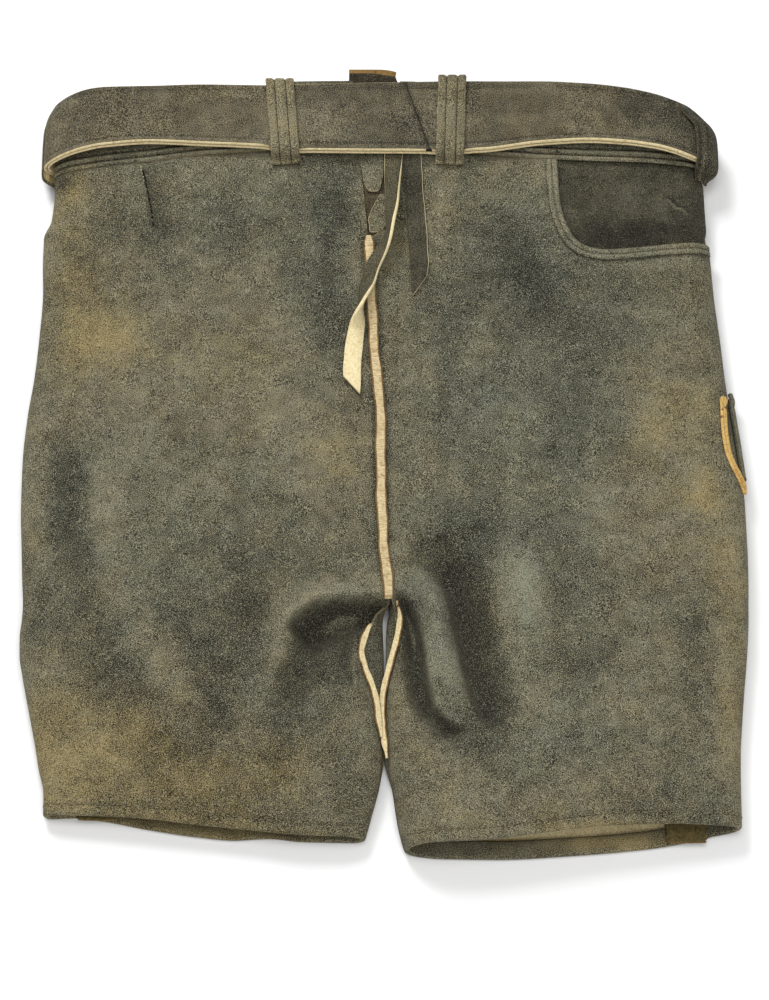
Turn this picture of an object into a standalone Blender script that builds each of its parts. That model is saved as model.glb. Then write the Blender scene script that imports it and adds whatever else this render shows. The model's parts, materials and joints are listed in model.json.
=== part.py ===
"""Short leather lederhosen with their own belt, laid out on a table with the back upwards.

+X points to the wearer's right, +Y from the hems to the waist, +Z up from the table.
The origin is the middle of the bounding box's floor. Tables and sizes are in millimetres.
"""

import math

import bmesh
import bpy
import numpy as np

MM = 0.001  # metres in a millimetre

# Driving dimensions, in millimetres.
LEATHER = 1.8  # wall of the panels
GAP = 0.3  # clearance between neighbouring pieces
BELT_LAYER = 2.2  # the belt's outer layer
LINING = 1.7  # its lining
LACE_THICKNESS = 1.6
LOOP_THICKNESS = 2.2
WELT_HEIGHT = 2.2
WAIST_SEAM_Y = 214.0  # nominal seam between panels and waistband
WAIST_TOP_Y = 278.0  # top edge of the waistband
CROTCH_Y = -123.0  # where the four panels meet
HEM_Y = -272.0  # nominal hem
SIDE_WRAP = 48.0  # how far the back panels reach round onto the underside
BELT_FLOOR = LOOP_THICKNESS + GAP  # height of the belt's lowest face above the table
WAIST_FLOOR = BELT_FLOOR + BELT_LAYER + LINING + 4 * GAP  # the waistband's lowest face
PROUD = GAP  # how far a piece lies above the one that carries it
CROTCH_CLEAR = 3.4  # more room under the inseam welts, where the seam bends sharply

LEFT, RIGHT = -1, 1

# One row for each cross-section: the inner edge of the back panel (centre seam above the
# crotch, inseam below it), the crown of the panel, the shoulder where it rolls over the
# side, the width of that roll, and the outline.
SECTION_COLUMNS = ("y", "edge_x", "edge_z", "rise", "crown", "side_z", "roll", "out_x")
SECTIONS = {
    LEFT: (
        (-290, -17.0, 8.0, 26, 17.0, 13, 10, -221.0),
        (-272, -12.5, 8.0, 26, 18.0, 14, 10, -221.0),
        (-254, -7.5, 8.5, 26, 20.0, 15, 12, -221.5),
        (-238, -3.0, 9.0, 26, 21.5, 17, 14, -225.0),
        (-220, -1.2, 9.5, 26, 22.5, 18, 15, -228.0),
        (-200, -3.6, 10.5, 26, 24.0, 19, 16, -232.0),
        (-184, -5.8, 12.0, 26, 25.5, 20, 17, -235.5),
        (-168, -11.0, 15.0, 26, 26.5, 21, 18, -239.0),
        (-154, -15.0, 18.0, 26, 27.0, 21, 18, -241.5),
        (-140, -10.5, 21.5, 26, 27.5, 22, 18, -242.0),
        (-129, -5.0, 24.0, 26, 28.0, 22, 18, -241.2),
        (-121, 3.0, 25.5, 30, 28.0, 22, 18, -241.0),
        (-100, 1.0, 27.0, 60, 28.5, 23, 18, -242.5),
        (-78, -1.3, 27.5, 60, 28.5, 23, 18, -244.0),
        (-48, -2.0, 27.5, 60, 28.5, 23, 18, -246.0),
        (-12, -2.4, 27.0, 60, 28.0, 23, 18, -246.6),
        (20, -3.3, 27.0, 60, 28.0, 23, 18, -245.0),
        (50, -6.0, 27.0, 60, 28.0, 23, 18, -241.8),
        (80, -7.6, 27.0, 60, 28.0, 23, 18, -240.0),
        (112, -9.6, 27.0, 60, 28.0, 23, 18, -239.0),
        (146, -11.0, 27.5, 60, 28.5, 23, 18, -240.5),
        (160, -12.0, 28.0, 60, 29.0, 24, 18, -240.5),
        (176, -13.5, 28.5, 60, 29.5, 24, 18, -235.5),
        (202, -17.0, 30.0, 60, 30.5, 25, 18, -234.0),
        (214, -19.0, 30.8, 60, 31.2, 26, 18, -234.0),
        (236, -20.0, 31.5, 60, 31.5, 26, 18, -233.5),
        (290, -23.0, 31.5, 60, 31.5, 26, 18, -231.0),
    ),
    RIGHT: (
        (-290, 19.5, 8.0, 26, 29.0, 20, 14, 230.0),
        (-272, 13.0, 8.0, 26, 30.0, 20, 14, 230.5),
        (-254, 8.0, 8.5, 26, 29.0, 20, 15, 231.0),
        (-238, 5.2, 9.0, 26, 28.0, 20, 16, 231.5),
        (-220, 1.2, 9.5, 26, 27.0, 20, 17, 232.5),
        (-200, 0.2, 10.5, 26, 26.5, 20, 18, 234.5),
        (-182, 1.2, 12.5, 26, 26.5, 21, 18, 236.5),
        (-162, 5.9, 16.0, 26, 27.0, 21, 18, 239.0),
        (-144, 9.6, 20.5, 26, 27.5, 22, 18, 241.0),
        (-131, 9.5, 24.0, 26, 28.0, 22, 18, 242.0),
        (-121, 4.5, 25.5, 30, 28.0, 22, 18, 242.5),
        (-100, 1.3, 27.0, 60, 28.5, 23, 18, 243.5),
        (-78, -1.0, 27.5, 60, 28.5, 23, 18, 244.0),
        (-48, -1.7, 27.5, 60, 28.5, 23, 18, 244.0),
        (-12, -2.1, 27.0, 60, 28.0, 23, 18, 241.0),
        (20, -3.0, 27.0, 60, 28.0, 23, 18, 237.5),
        (50, -5.7, 27.0, 60, 28.0, 23, 18, 235.0),
        (80, -7.3, 27.0, 60, 28.0, 23, 18, 233.0),
        (112, -9.3, 27.0, 60, 28.0, 23, 18, 230.5),
        (146, -10.7, 27.5, 60, 28.5, 23, 18, 229.0),
        (153, -9.0, 27.8, 60, 28.8, 24, 18, 228.0),
        (161, 2.0, 28.0, 60, 29.0, 24, 18, 227.5),
        (172, 6.0, 28.5, 60, 29.5, 24, 18, 226.5),
        (202, 8.0, 30.0, 60, 30.5, 25, 18, 226.0),
        (214, 9.0, 30.8, 60, 31.2, 26, 18, 226.0),
        (236, 10.0, 31.5, 60, 31.5, 26, 18, 225.5),
        (290, 11.0, 31.5, 60, 31.5, 26, 18, 224.0),
    ),
}

# The front panel's inner edge where it leaves the table: the height at which it meets its
# neighbour, and where its inner face stands and comes down to the table.
FRONT_COLUMNS = ("y", "edge_x", "edge_z", "belly_x", "foot_x")
FRONT_EDGES = {
    LEFT: (
        (-290, -17.0, 8.0, -17.0, -27.0),
        (-272, -12.5, 8.0, -12.6, -23.0),
        (-254, -7.5, 8.5, -7.6, -18.0),
        (-238, -3.0, 9.0, -3.1, -14.0),
        (-220, -1.2, 9.5, 1.0, -12.0),
        (-200, -3.6, 10.5, 1.6, -12.0),
        (-184, -5.8, 12.0, 2.3, -12.0),
        (-168, -11.0, 15.0, 3.2, -12.0),
        (-154, -15.0, 18.0, 3.8, -12.0),
        (-140, -10.5, 21.5, 2.4, -12.0),
        (-129, -5.0, 24.0, 1.0, -12.0),
        (-121, 2.6, 22.5, 0.6, -12.0),
        (-112, 2.0, 14.0, 0.8, -10.0),
        (-100, 1.0, 6.0, 0.6, -8.0),
        (-86, 0.0, 0.0, -2.0, -6.0),
        (290, 0.0, 0.0, -2.0, -6.0),
    ),
    RIGHT: (
        (-290, 19.5, 8.0, 19.5, 30.0),
        (-272, 13.0, 8.0, 13.1, 24.0),
        (-254, 8.0, 8.5, 8.1, 19.0),
        (-238, 5.2, 9.0, 5.3, 16.0),
        (-220, 1.2, 9.5, -1.6, 13.0),
        (-200, 0.2, 10.5, -1.2, 12.0),
        (-182, 1.2, 12.5, -1.4, 12.0),
        (-162, 5.9, 16.0, -2.2, 12.0),
        (-144, 9.6, 20.5, -2.2, 12.0),
        (-131, 9.5, 24.0, -1.4, 12.0),
        (-121, 4.9, 22.5, 2.0, 14.0),
        (-112, 2.6, 14.0, 2.0, 12.0),
        (-100, 1.6, 6.0, 1.8, 10.0),
        (-86, 0.6, 0.0, 2.6, 6.6),
        (290, 0.6, 0.0, 2.6, 6.6),
    ),
}

# How far the waist seam stands above or below its nominal line, along X.
WAIST_SEAM = (
    (-234, -8.0), (-202, -3.5), (-166, -0.5), (-131, 4.0), (-81, 7.5), (-32, 9.0),
    (39, 7.5), (82, 3.5), (117, 0.5), (153, -0.5), (181, -0.5), (226, -3.0),
)
# Where each hem lies, along X.
BACK_HEM = {
    LEFT: (
        (-221, -264.5), (-183, -266.0), (-151, -268.5), (-118, -272.5), (-86, -276.0),
        (-54, -279.5), (-12, -280.5),
    ),
    RIGHT: (
        (12, -288.5), (61, -286.5), (99, -282.0), (138, -276.5), (169, -274.5),
        (195, -273.5), (231, -273.5),
    ),
}
FRONT_HEM = {
    LEFT: (
        (-221, -264.5), (-201, -263.5), (-178, -266.5), (-152, -271.5), (-119, -276.5),
        (-97, -278.5), (-74, -277.5), (-54, -279.5), (-12, -280.5),
    ),
    RIGHT: (
        (12, -288.5), (36, -291.0), (74, -291.5), (113, -289.5), (165, -285.0),
        (204, -278.5), (214, -275.5), (231, -273.5),
    ),
}

# The largest folds of the back: height (negative for a trough), half width, and the line
# that each follows.
FOLDS = (
    ("left arch", 5.5, 10, ((2, -112), (-26, -113), (-53, -121), (-69, -141), (-84, -190))),
    ("under left arch", -9.5, 10, ((-15, -129), (-29, -132), (-47, -147), (-58, -174), (-70, -212))),
    ("right tuck", -7.0, 6, ((17, -116), (18, -136), (18, -162), (21, -188), (40, -211))),
    ("right roll", 7.5, 9, ((24, -106), (32, -124), (35, -148), (38, -174), (54, -204))),
    ("beside right roll", -8.5, 11, ((31, -95), (45, -118), (53, -148), (63, -178), (74, -216))),
    ("left leg sag", -2.5, 26, ((-190, -150), (-150, -215), (-90, -240), (-40, -200))),
    ("right leg sag", -2.0, 26, ((110, -90), (150, -120), (160, -180))),
    ("left hip", 1.6, 20, ((-60, 170), (-35, 120), (-40, 40))),
)

COLOURS = {
    "suede": (0.150, 0.132, 0.084),
    "suede_dark": (0.062, 0.058, 0.036),
    "cut_edge": (0.520, 0.420, 0.220),
    "welt_yellow": (0.560, 0.400, 0.150),
    "flesh_side": (0.600, 0.480, 0.250),
    "horn_brown": (0.080, 0.055, 0.030),
    "old_brass": (0.340, 0.260, 0.120),
}


def smooth(at, points):
    """The value at each place, on a curve through a table of (place, value) that never
    swings past the table's own values."""
    table = np.array(sorted(points), float)
    xs, ys = table[:, 0], table[:, 1]
    rise = np.diff(ys) / np.diff(xs)
    before, after = rise[:-1], rise[1:]
    level = before * after <= 0
    total = np.where(level, 1.0, before + after)
    inner = np.where(level, 0.0, 2 * before * after / total)
    slopes = np.concatenate([rise[:1], inner, rise[-1:]])
    at = np.clip(np.asarray(at, float), xs[0], xs[-1])
    i = np.clip(np.searchsorted(xs, at) - 1, 0, len(xs) - 2)
    span = xs[i + 1] - xs[i]
    t = (at - xs[i]) / span
    start = (1 + 2 * t) * (1 - t) ** 2 * ys[i] + t * (1 - t) ** 2 * span * slopes[i]
    end = t * t * (3 - 2 * t) * ys[i + 1] - t * t * (1 - t) * span * slopes[i + 1]
    return start + end


def ease(at, low, high):
    """0 below low and 1 above high, smooth between."""
    t = np.clip((np.asarray(at, float) - low) / (high - low), 0, 1)
    return t * t * (3 - 2 * t)


def row_at(table, columns, y):
    """A table's columns at one y, by name."""
    return {
        name: float(smooth(y, [(row[0], row[i]) for row in table]))
        for i, name in enumerate(columns)
        if i
    }


def from_line(x, y, line):
    """How far a point is from a line of straight stretches, and how far along it, 0 to 1."""
    best, along = np.full(np.shape(x), 1e9), np.zeros(np.shape(x))
    count = len(line) - 1
    for i in range(count):
        (ax, ay), (bx, by) = line[i], line[i + 1]
        dx, dy = bx - ax, by - ay
        t = np.clip(((x - ax) * dx + (y - ay) * dy) / (dx * dx + dy * dy), 0, 1)
        far = np.hypot(x - ax - t * dx, y - ay - t * dy)
        nearer = far < best
        best = np.where(nearer, far, best)
        along = np.where(nearer, (i + t) / count, along)
    return best, along


def folds_at(x, y):
    """How far the folds lift the back's surface at a point."""
    lift = np.zeros(np.shape(x))
    for _, height, width, line in FOLDS:
        far, along = from_line(x, y, line)
        ends = ease(along, -0.25, 0.25) * (1 - ease(along, 0.7, 1.0))
        lift = lift + height * ends * np.exp(-((far / width) ** 2))
    return lift


def floor_at(y):
    """The height of the underside: on the table, and over the belt at the waist."""
    return WAIST_FLOOR * ease(y, 146, 196)


def shifted_y(side, x, y, below=0.0):
    """The real y of a nominal row at x. below is 0 on the back and 1 on the underside."""
    back = smooth(x, BACK_HEM[side])
    front = smooth(x, FRONT_HEM[side])
    hem = back + (front - back) * below
    waist = smooth(x, WAIST_SEAM) * ease(y, 150, WAIST_SEAM_Y) * (1 - 0.6 * ease(y, WAIST_SEAM_Y, 270))
    return y + waist + (hem - HEM_Y) * (1 - ease(y, HEM_Y, -190))


def back_height(side, x, y, row):
    """The height of a back panel's outer surface where it faces up."""
    inward = (x - row["edge_x"]) * side
    shoulder = (row["out_x"] - row["edge_x"]) * side - row["roll"]
    climb = np.clip(inward / row["rise"], 0, 1)
    sharp = np.sqrt(1 - (1 - climb) ** 2)
    soft = ease(climb, 0, 1)
    leg = 1 - ease(y, CROTCH_Y - 18, CROTCH_Y + 2)
    z = row["edge_z"] + (row["crown"] - row["edge_z"]) * (sharp * leg + soft * (1 - leg))
    u = inward / shoulder
    z = z - (row["crown"] - row["side_z"]) * (np.clip(u - 0.45, 0, 0.55) / 0.55) ** 2
    return z + folds_at(x, y) * (1 - ease(u, 0.8, 1.0)) * ease(climb + (1 - leg), 0, 0.35)


def back_section(side, y, columns, start=None, turn=1.0, crowd=1.5):
    """A row of points over a back panel, from its inner edge round to the side seam.

    start moves the first point out to another x, and turn stops the row part of the way
    round the side, before the underside.
    """
    across, round_side, under = columns
    row = row_at(SECTIONS[side], SECTION_COLUMNS, y)
    shoulder = row["out_x"] - side * row["roll"]
    floor = floor_at(y)
    edge = row["edge_x"] + side * GAP / 2 if start is None else start
    points = []
    for i in range(across + 1):
        x = edge + (shoulder - edge) * (i / across) ** crowd
        real_y = float(shifted_y(side, x, y))
        points.append((x, real_y, float(back_height(side, x, real_y, row))))
    top = points[-1][2]
    middle, half = (top + floor) / 2, (top - floor) / 2
    for i in range(1, round_side + 1):
        angle = math.pi / 2 - math.pi * turn * i / round_side
        x = shoulder + side * row["roll"] * math.cos(angle)
        z = middle + half * math.sin(angle)
        points.append((x, float(shifted_y(side, x, y, turn * i / round_side)), z))
    seam = row["out_x"] - side * SIDE_WRAP
    for i in range(1, under + 1):
        x = shoulder + (seam + side * GAP / 2 - shoulder) * i / under
        points.append((x, float(shifted_y(side, x, y, 1.0)), floor))
    return points


def outer_z(side, x, y):
    """The height of the back's outer surface at a point seen from above."""
    row = row_at(SECTIONS[side], SECTION_COLUMNS, y)
    shoulder = row["out_x"] - side * row["roll"]
    past = (x - shoulder) * side / row["roll"]
    if past <= 0:
        return float(back_height(side, x, y, row))
    top, floor = float(back_height(side, shoulder, y, row)), floor_at(y)
    return (top + floor) / 2 + (top - floor) / 2 * math.sqrt(max(0.0, 1 - past * past))


def front_section(side, y, columns):
    """A row of points over a front panel, from the side seam to its inner edge."""
    under, inner = columns
    row = row_at(SECTIONS[side], SECTION_COLUMNS, y)
    edge = row_at(FRONT_EDGES[side], FRONT_COLUMNS, y)
    floor = floor_at(y)
    seam = row["out_x"] - side * (SIDE_WRAP + GAP / 2)
    points = []
    for i in range(under):
        x = seam + (edge["foot_x"] - seam) * i / under
        points.append((x, float(shifted_y(side, x, y, 1.0)), floor))
    height = edge["edge_z"]
    foot = np.array((edge["foot_x"], floor))
    low = np.array((edge["belly_x"], floor))
    high = np.array((edge["belly_x"], floor + height * 0.55))
    clear = GAP * ease(height, 0, 4) + CROTCH_CLEAR * ease(height, 12, 20)
    top = np.array((edge["edge_x"], floor + height - clear))
    for i in range(inner + 1):
        t = i / inner
        x, z = (
            (1 - t) ** 3 * foot + 3 * (1 - t) ** 2 * t * low
            + 3 * (1 - t) * t * t * high + t ** 3 * top
        )
        points.append((float(x), float(shifted_y(side, x, y, 1.0)), float(z)))
    return points


# Making the pieces.


def material(colour, metallic=0.0, roughness=0.85):
    """A material of its own for one piece."""
    made = bpy.data.materials.new(colour)
    made.use_nodes = True
    shader = made.node_tree.nodes["Principled BSDF"]
    shader.inputs["Base Color"].default_value = (*COLOURS[colour], 1)
    shader.inputs["Metallic"].default_value = metallic
    shader.inputs["Roughness"].default_value = roughness
    return made


def add_piece(name, points, faces, colour):
    """A mesh object from points in millimetres."""
    mesh = bpy.data.meshes.new(name)
    mesh.from_pydata([tuple(c * MM for c in p) for p in points], [], faces)
    mesh.shade_smooth()
    piece = bpy.data.objects.new(name, mesh)
    bpy.data.collections["Lederhosen"].objects.link(piece)
    mesh.materials.append(material(colour))
    return piece


def shell(name, rows, colour, thickness, flip, offset=-1.0, ring=False):
    """A wall on a grid of points: an open surface with Solidify."""
    width = len(rows[0])
    faces = []
    for j in range(len(rows) - 1):
        for i in range(width if ring else width - 1):
            a, b = j * width + i, j * width + (i + 1) % width
            faces.append((a, b, b + width, a + width))
    if flip:
        faces = [face[::-1] for face in faces]
    piece = add_piece(name, [p for row in rows for p in row], faces, colour)
    solid = piece.modifiers.new("Wall", "SOLIDIFY")
    solid.thickness = thickness * MM
    solid.offset = offset
    return piece


def grid_normals(rows, flip):
    """The unit normal at each point of a grid, facing the way that shell() faces it."""
    grid = np.array(rows, float)
    normals = np.cross(np.gradient(grid, axis=1), np.gradient(grid, axis=0))
    normals /= np.linalg.norm(normals, axis=2, keepdims=True) + 1e-12
    return -normals if flip else normals


def moved(rows, distance, flip):
    """A grid of points moved along its normals, out of the garment where positive."""
    grid = np.array(rows, float) + distance * grid_normals(rows, flip)
    return [[tuple(p) for p in row] for row in grid]


def ribbon(name, path, widths, normals, colour, thickness):
    """A strip along a path, with its width and the way it faces at each point."""
    path, normals = np.array(path, float), np.array(normals, float)
    forward = np.gradient(path, axis=0)
    across = np.cross(forward, normals)
    across /= np.linalg.norm(across, axis=1, keepdims=True)
    half = across * np.array(widths, float)[:, None] / 2
    rows = [
        [tuple(p - h), tuple(p), tuple(p + h)]
        for p, h in zip(path, half, strict=True)
    ]
    return shell(name, rows, colour, thickness, flip=False, offset=1.0)


def cut_with(piece, outline, low, high):
    """Cuts away what lies above an outline, between two heights."""
    curve = bpy.data.curves.new(piece.name + "_cut", "CURVE")
    curve.dimensions = "2D"
    curve.fill_mode = "BOTH"
    curve.extrude = (high - low) / 2 * MM
    spline = curve.splines.new("POLY")
    spline.points.add(len(outline) - 1)
    for point, (x, y) in zip(spline.points, outline, strict=True):
        point.co = (x * MM, y * MM, 0, 1)
    spline.use_cyclic_u = True
    shape = bpy.data.objects.new(curve.name, curve)
    bpy.data.collections["Cutters"].objects.link(shape)
    bpy.context.view_layer.update()
    graph = bpy.context.evaluated_depsgraph_get()
    mesh = bpy.data.meshes.new_from_object(shape.evaluated_get(graph))
    work = bmesh.new()
    work.from_mesh(mesh)
    bmesh.ops.remove_doubles(work, verts=work.verts, dist=0.00001)
    bmesh.ops.recalc_face_normals(work, faces=work.faces)
    work.to_mesh(mesh)
    work.free()
    cutter = bpy.data.objects.new(piece.name + "_cutter", mesh)
    bpy.data.collections["Cutters"].objects.link(cutter)
    cutter.location.z = (low + high) / 2 * MM
    cutter.hide_render = True
    cutter.display_type = "WIRE"
    bpy.data.objects.remove(shape)
    cut = piece.modifiers.new("Cut", "BOOLEAN")
    cut.operation = "DIFFERENCE"
    cut.solver = "EXACT"
    cut.object = cutter


def steps(start, stop, count):
    """Evenly spaced values with both ends."""
    return [float(v) for v in np.linspace(start, stop, count)]


# Panels.

PANEL_ROWS = (
    steps(WAIST_SEAM_Y, 172, 3) + [162, 153, 146] + steps(124, -84, 9)
    + steps(-94, -176, 11) + steps(-192, HEM_Y, 6)
)
HEM_TURN = 9.0  # how far the hems are turned up inside

# The mouth of the hip pocket: down beside the back dart, round, and out to the side.
POCKET_MOUTH = (
    (122.0, 232), (122.0, 214), (122.6, 194), (124.0, 176), (128.0, 161), (133.0, 151),
    (140.0, 145.5), (149, 143.5), (164, 144.2), (178, 146), (193, 148), (207, 149.8),
    (214, 150.5), (220, 151), (224.5, 151.3), (227.5, 151.5),
)
POCKET_EDGE_WIDTH = 8.0


def make_panels():
    """Two back panels, which wrap round the sides, and two front panels under them."""
    for side, word in ((LEFT, "left"), (RIGHT, "right")):
        back = [back_section(side, y, (13, 6, 2)) for y in PANEL_ROWS]
        piece = shell(f"back_{word}", back, "suede", LEATHER, flip=side == RIGHT)
        if side == RIGHT:
            outline = POCKET_MOUTH + ((262, 152), (262, 232))
            cut_with(piece, outline, 9, 60)
        front = [front_section(side, y, (4, 5)) for y in PANEL_ROWS]
        shell(f"front_{word}", front, "suede", LEATHER, flip=side == RIGHT)


def make_waistband():
    """A band in two halves, from the slit at the back round each side to the front."""
    rows_y = steps(WAIST_TOP_Y, WAIST_SEAM_Y + GAP, 4)
    for side, word in ((LEFT, "left"), (RIGHT, "right")):
        rows = [
            back_section(side, y, (13, 6, 2))[:-1] + front_section(side, y, (4, 5))
            for y in rows_y
        ]
        shell(f"waistband_{word}", rows, "suede", LEATHER, flip=side == RIGHT)


def make_hems():
    """The strips turned up inside the hems, and the side seams' allowances above them."""
    for side, word in ((LEFT, "left"), (RIGHT, "right")):
        rows_y = steps(HEM_Y + HEM_TURN, HEM_Y + GAP, 3)
        back = [back_section(side, y, (9, 5, 0), turn=0.85) for y in rows_y]
        back = [row[2:] for row in back]
        inside = moved(back, -(LEATHER + 2 * GAP), flip=side == RIGHT)
        shell(f"hem_back_{word}", inside, "suede_dark", LEATHER - 0.4, flip=side == RIGHT)
        front = [front_section(side, y, (7, 1))[:-1] for y in rows_y]
        front = [[(x, y, z + LEATHER + GAP) for x, y, z in row] for row in front]
        shell(f"hem_front_{word}", front, "suede_dark", LEATHER, side == RIGHT, offset=-1.0)
        seam = row_at(SECTIONS[side], SECTION_COLUMNS, HEM_Y)["out_x"] - side * SIDE_WRAP
        hem = float(smooth(seam, FRONT_HEM[side]))
        rows = [
            [(seam + dx * side, y, 2 * (LEATHER + GAP)) for dx in (9, 0, -9)]
            for y in steps(hem + 70, hem + 1, 5)
        ]
        shell(f"seam_allowance_{word}", rows, "cut_edge", LEATHER - 0.4, side == RIGHT)


# Welts: strips sandwiched in the seams, standing proud of them.


def seam_points(side, rows_y, lift):
    """The inner edge of a back panel, raised."""
    points = []
    for y in rows_y:
        row = row_at(SECTIONS[side], SECTION_COLUMNS, y)
        x = row["edge_x"]
        real_y = float(shifted_y(side, x, y))
        z = float(back_height(side, x, real_y, row))
        points.append((x, real_y, z + lift))
    return points


def make_welts():
    """The centre-back welt with its blunt top, and the two inseam welts."""
    path = []
    rows_y = steps(153, -83, 12) + steps(-90, CROTCH_Y + 3, 5)
    for x, y, z in seam_points(LEFT, rows_y, PROUD):
        sides = outer_z(LEFT, x - 3.9, y), outer_z(RIGHT, x + 3.9, y)
        path.append((x + GAP / 2, y, max(z, *(height + PROUD for height in sides)) + 0.1))
    widths = [5.5] + [7.4] * (len(path) - 1)
    ribbon("cb_welt", path, widths, [(0, 0, 1)] * len(path), "cut_edge", WELT_HEIGHT)
    for side, word in ((LEFT, "left"), (RIGHT, "right")):
        rows_y = steps(CROTCH_Y - 10, -186 if side == LEFT else -212, 10)
        path = []
        for x, y, z in seam_points(side, rows_y, 0.9):
            apart = float(ease(y, -192, -172))
            path.append((x - side * (1.9 * apart - 0.6), y, z + 2.6 * (1 - apart)))
        facing = [(-side * 0.85, 0, 0.53)] * len(path)
        ribbon(f"inseam_welt_{word}", path, [3.6] * len(path), facing, "cut_edge", 1.6)


# The slit at the top of the centre back.

# y and the two sides of the tab that hangs in the slit.
SLIT_TAB = (
    (232, -18.4, -0.8), (219, -18.2, -0.4), (205, -15.9, -0.8), (196, -14.4, -2.0),
    (190, -12.4, -4.6),
)


def make_slit():
    """The gusset behind the slit, the tab that hangs in it, and its folded corner."""
    rows = []
    for y in (291.0, 284.0, 262.0, 236.0, 214.0, 190.0, 172.0, 158.0, 147.0):
        left = row_at(SECTIONS[LEFT], SECTION_COLUMNS, y)
        right = row_at(SECTIONS[RIGHT], SECTION_COLUMNS, y)
        low, high = left["edge_x"] - 4.5, right["edge_x"] + 5.0
        if y > WAIST_TOP_Y:
            low, high = -25.5, 8.5
        z = left["edge_z"] - LEATHER - 2 * GAP
        rows.append([(x, y, z) for x in steps(low, high, 4)])
    shell("back_gusset", rows, "suede_dark", LEATHER, flip=True)
    rows = []
    for y, low, high in SLIT_TAB:
        z = row_at(SECTIONS[LEFT], SECTION_COLUMNS, y)["edge_z"] - GAP
        rows.append([(x, y, z) for x in steps(low, high, 3)])
    shell("slit_tab", rows, "suede", LEATHER - 0.2, flip=True)
    corner = (
        ((-3.5, 187.5), (1.5, 188)), ((-10.9, 171), (4.4, 172)), ((-10.6, 163), (1.2, 163)),
        ((-10.2, 158), (-4.0, 158)),
    )
    rows = []
    for (ax, ay), (bx, by) in corner:
        z = row_at(SECTIONS[LEFT], SECTION_COLUMNS, ay)["edge_z"] - GAP
        rows.append([(ax, ay, z), ((ax + bx) / 2, (ay + by) / 2, z), (bx, by, z)])
    shell("slit_corner", rows, "suede", LEATHER - 0.2, flip=True)


# Laces: flat thongs that come out from under the belt and lie on the back.
# x, y, width, how far the thong is rolled over, in degrees.
LONG_LACE = (
    (6.4, 228, 12.5, 0), (6.3, 214, 12.4, 0), (6.0, 200, 12.2, -22), (5.8, 186, 12.0, -34),
    (5.2, 170, 12.0, -52),
    (4.0, 155, 12.0, -68), (-0.5, 141, 12.0, -50), (-7.2, 128, 12.0, -30), (-12.4, 108, 12.0, -40),
    (-15.2, 93, 12.0, -88), (-19.0, 78, 12.0, -150), (-21.5, 60, 12.0, -176), (-22.5, 36, 12.0, -180),
)
SHORT_LACE = (
    (19.0, 228, 12.5, 0), (20.0, 208, 12.5, 0), (21.0, 188, 12.8, 0), (22.3, 168, 13.0, 0),
    (23.5, 146, 13.0, 0), (24.5, 126, 13.0, 0), (24.6, 114, 10.0, 0),
)


def make_laces():
    """The long lace, which turns over, and the short one."""
    for name, route in (("lace_long", LONG_LACE), ("lace_short", SHORT_LACE)):
        path, widths, normals = [], [], []
        for x, y, width, roll in route:
            turn = math.radians(roll)
            stand = abs(math.sin(turn)) * width / 2
            under = WELT_HEIGHT + PROUD if (name == "lace_long" and y < 158) else 0
            z = outer_z(RIGHT if x > 0 else LEFT, x, y) + 2 * GAP + stand + under
            lift = LACE_THICKNESS / 2 * (1 - math.cos(turn))
            path.append((x, y, z + lift))
            widths.append(width)
            normals.append((math.sin(turn), 0, math.cos(turn)))
        ribbon(name, path, widths, normals, "suede", LACE_THICKNESS)


# The belt: a closed ring seen along Y, flat above and below, rounder above at its ends.

BELT_LEFT_X, BELT_RIGHT_X = -242.5, 232.0
BELT_TOP_Z = 38.7
BELT_UPPER_END, BELT_LOWER_END = {LEFT: 42.0, RIGHT: 38.0}, {LEFT: 22.0, RIGHT: 20.0}
SPLICE_LOW_X, SPLICE_HIGH_X = 32.0, 14.6  # the diagonal joint in the back stretch
BELT_FRONT_LOW_Y, BELT_FRONT_WIDTH = 214.0, 50.0
# x, lower edge, upper edge of the back stretch.
BELT_EDGES = (
    (-242.5, 212.0, 262.0), (-233, 215.5, 267.0), (-218, 219.5, 269.5), (-201, 222.5, 270.5),
    (-166, 225.5, 271.5), (-131, 224.0, 272.5), (-85, 221.5, 271.8), (-60, 218.5, 272.5),
    (-32, 218.0, 273.5), (11, 217.8, 274.5), (38, 217.5, 275.0), (68, 218.5, 275.2),
    (111, 224.5, 275.2), (145, 226.5, 274.0), (183, 223.5, 270.5), (203, 219.0, 265.5),
    (218, 214.5, 261.5), (233, 210.5, 258.5),
)


def belt_end(side, angle, inset):
    """A point of the belt's section at one end, by angle above the horizontal."""
    end_x = BELT_LEFT_X if side == LEFT else BELT_RIGHT_X
    reach = (BELT_UPPER_END if angle >= 0 else BELT_LOWER_END)[side]
    middle = (BELT_TOP_Z + BELT_FLOOR) / 2
    half = (BELT_TOP_Z - BELT_FLOOR) / 2
    x = end_x - side * reach + side * (reach - inset) * math.cos(angle)
    return x, middle + (half - inset) * math.sin(angle)


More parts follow.
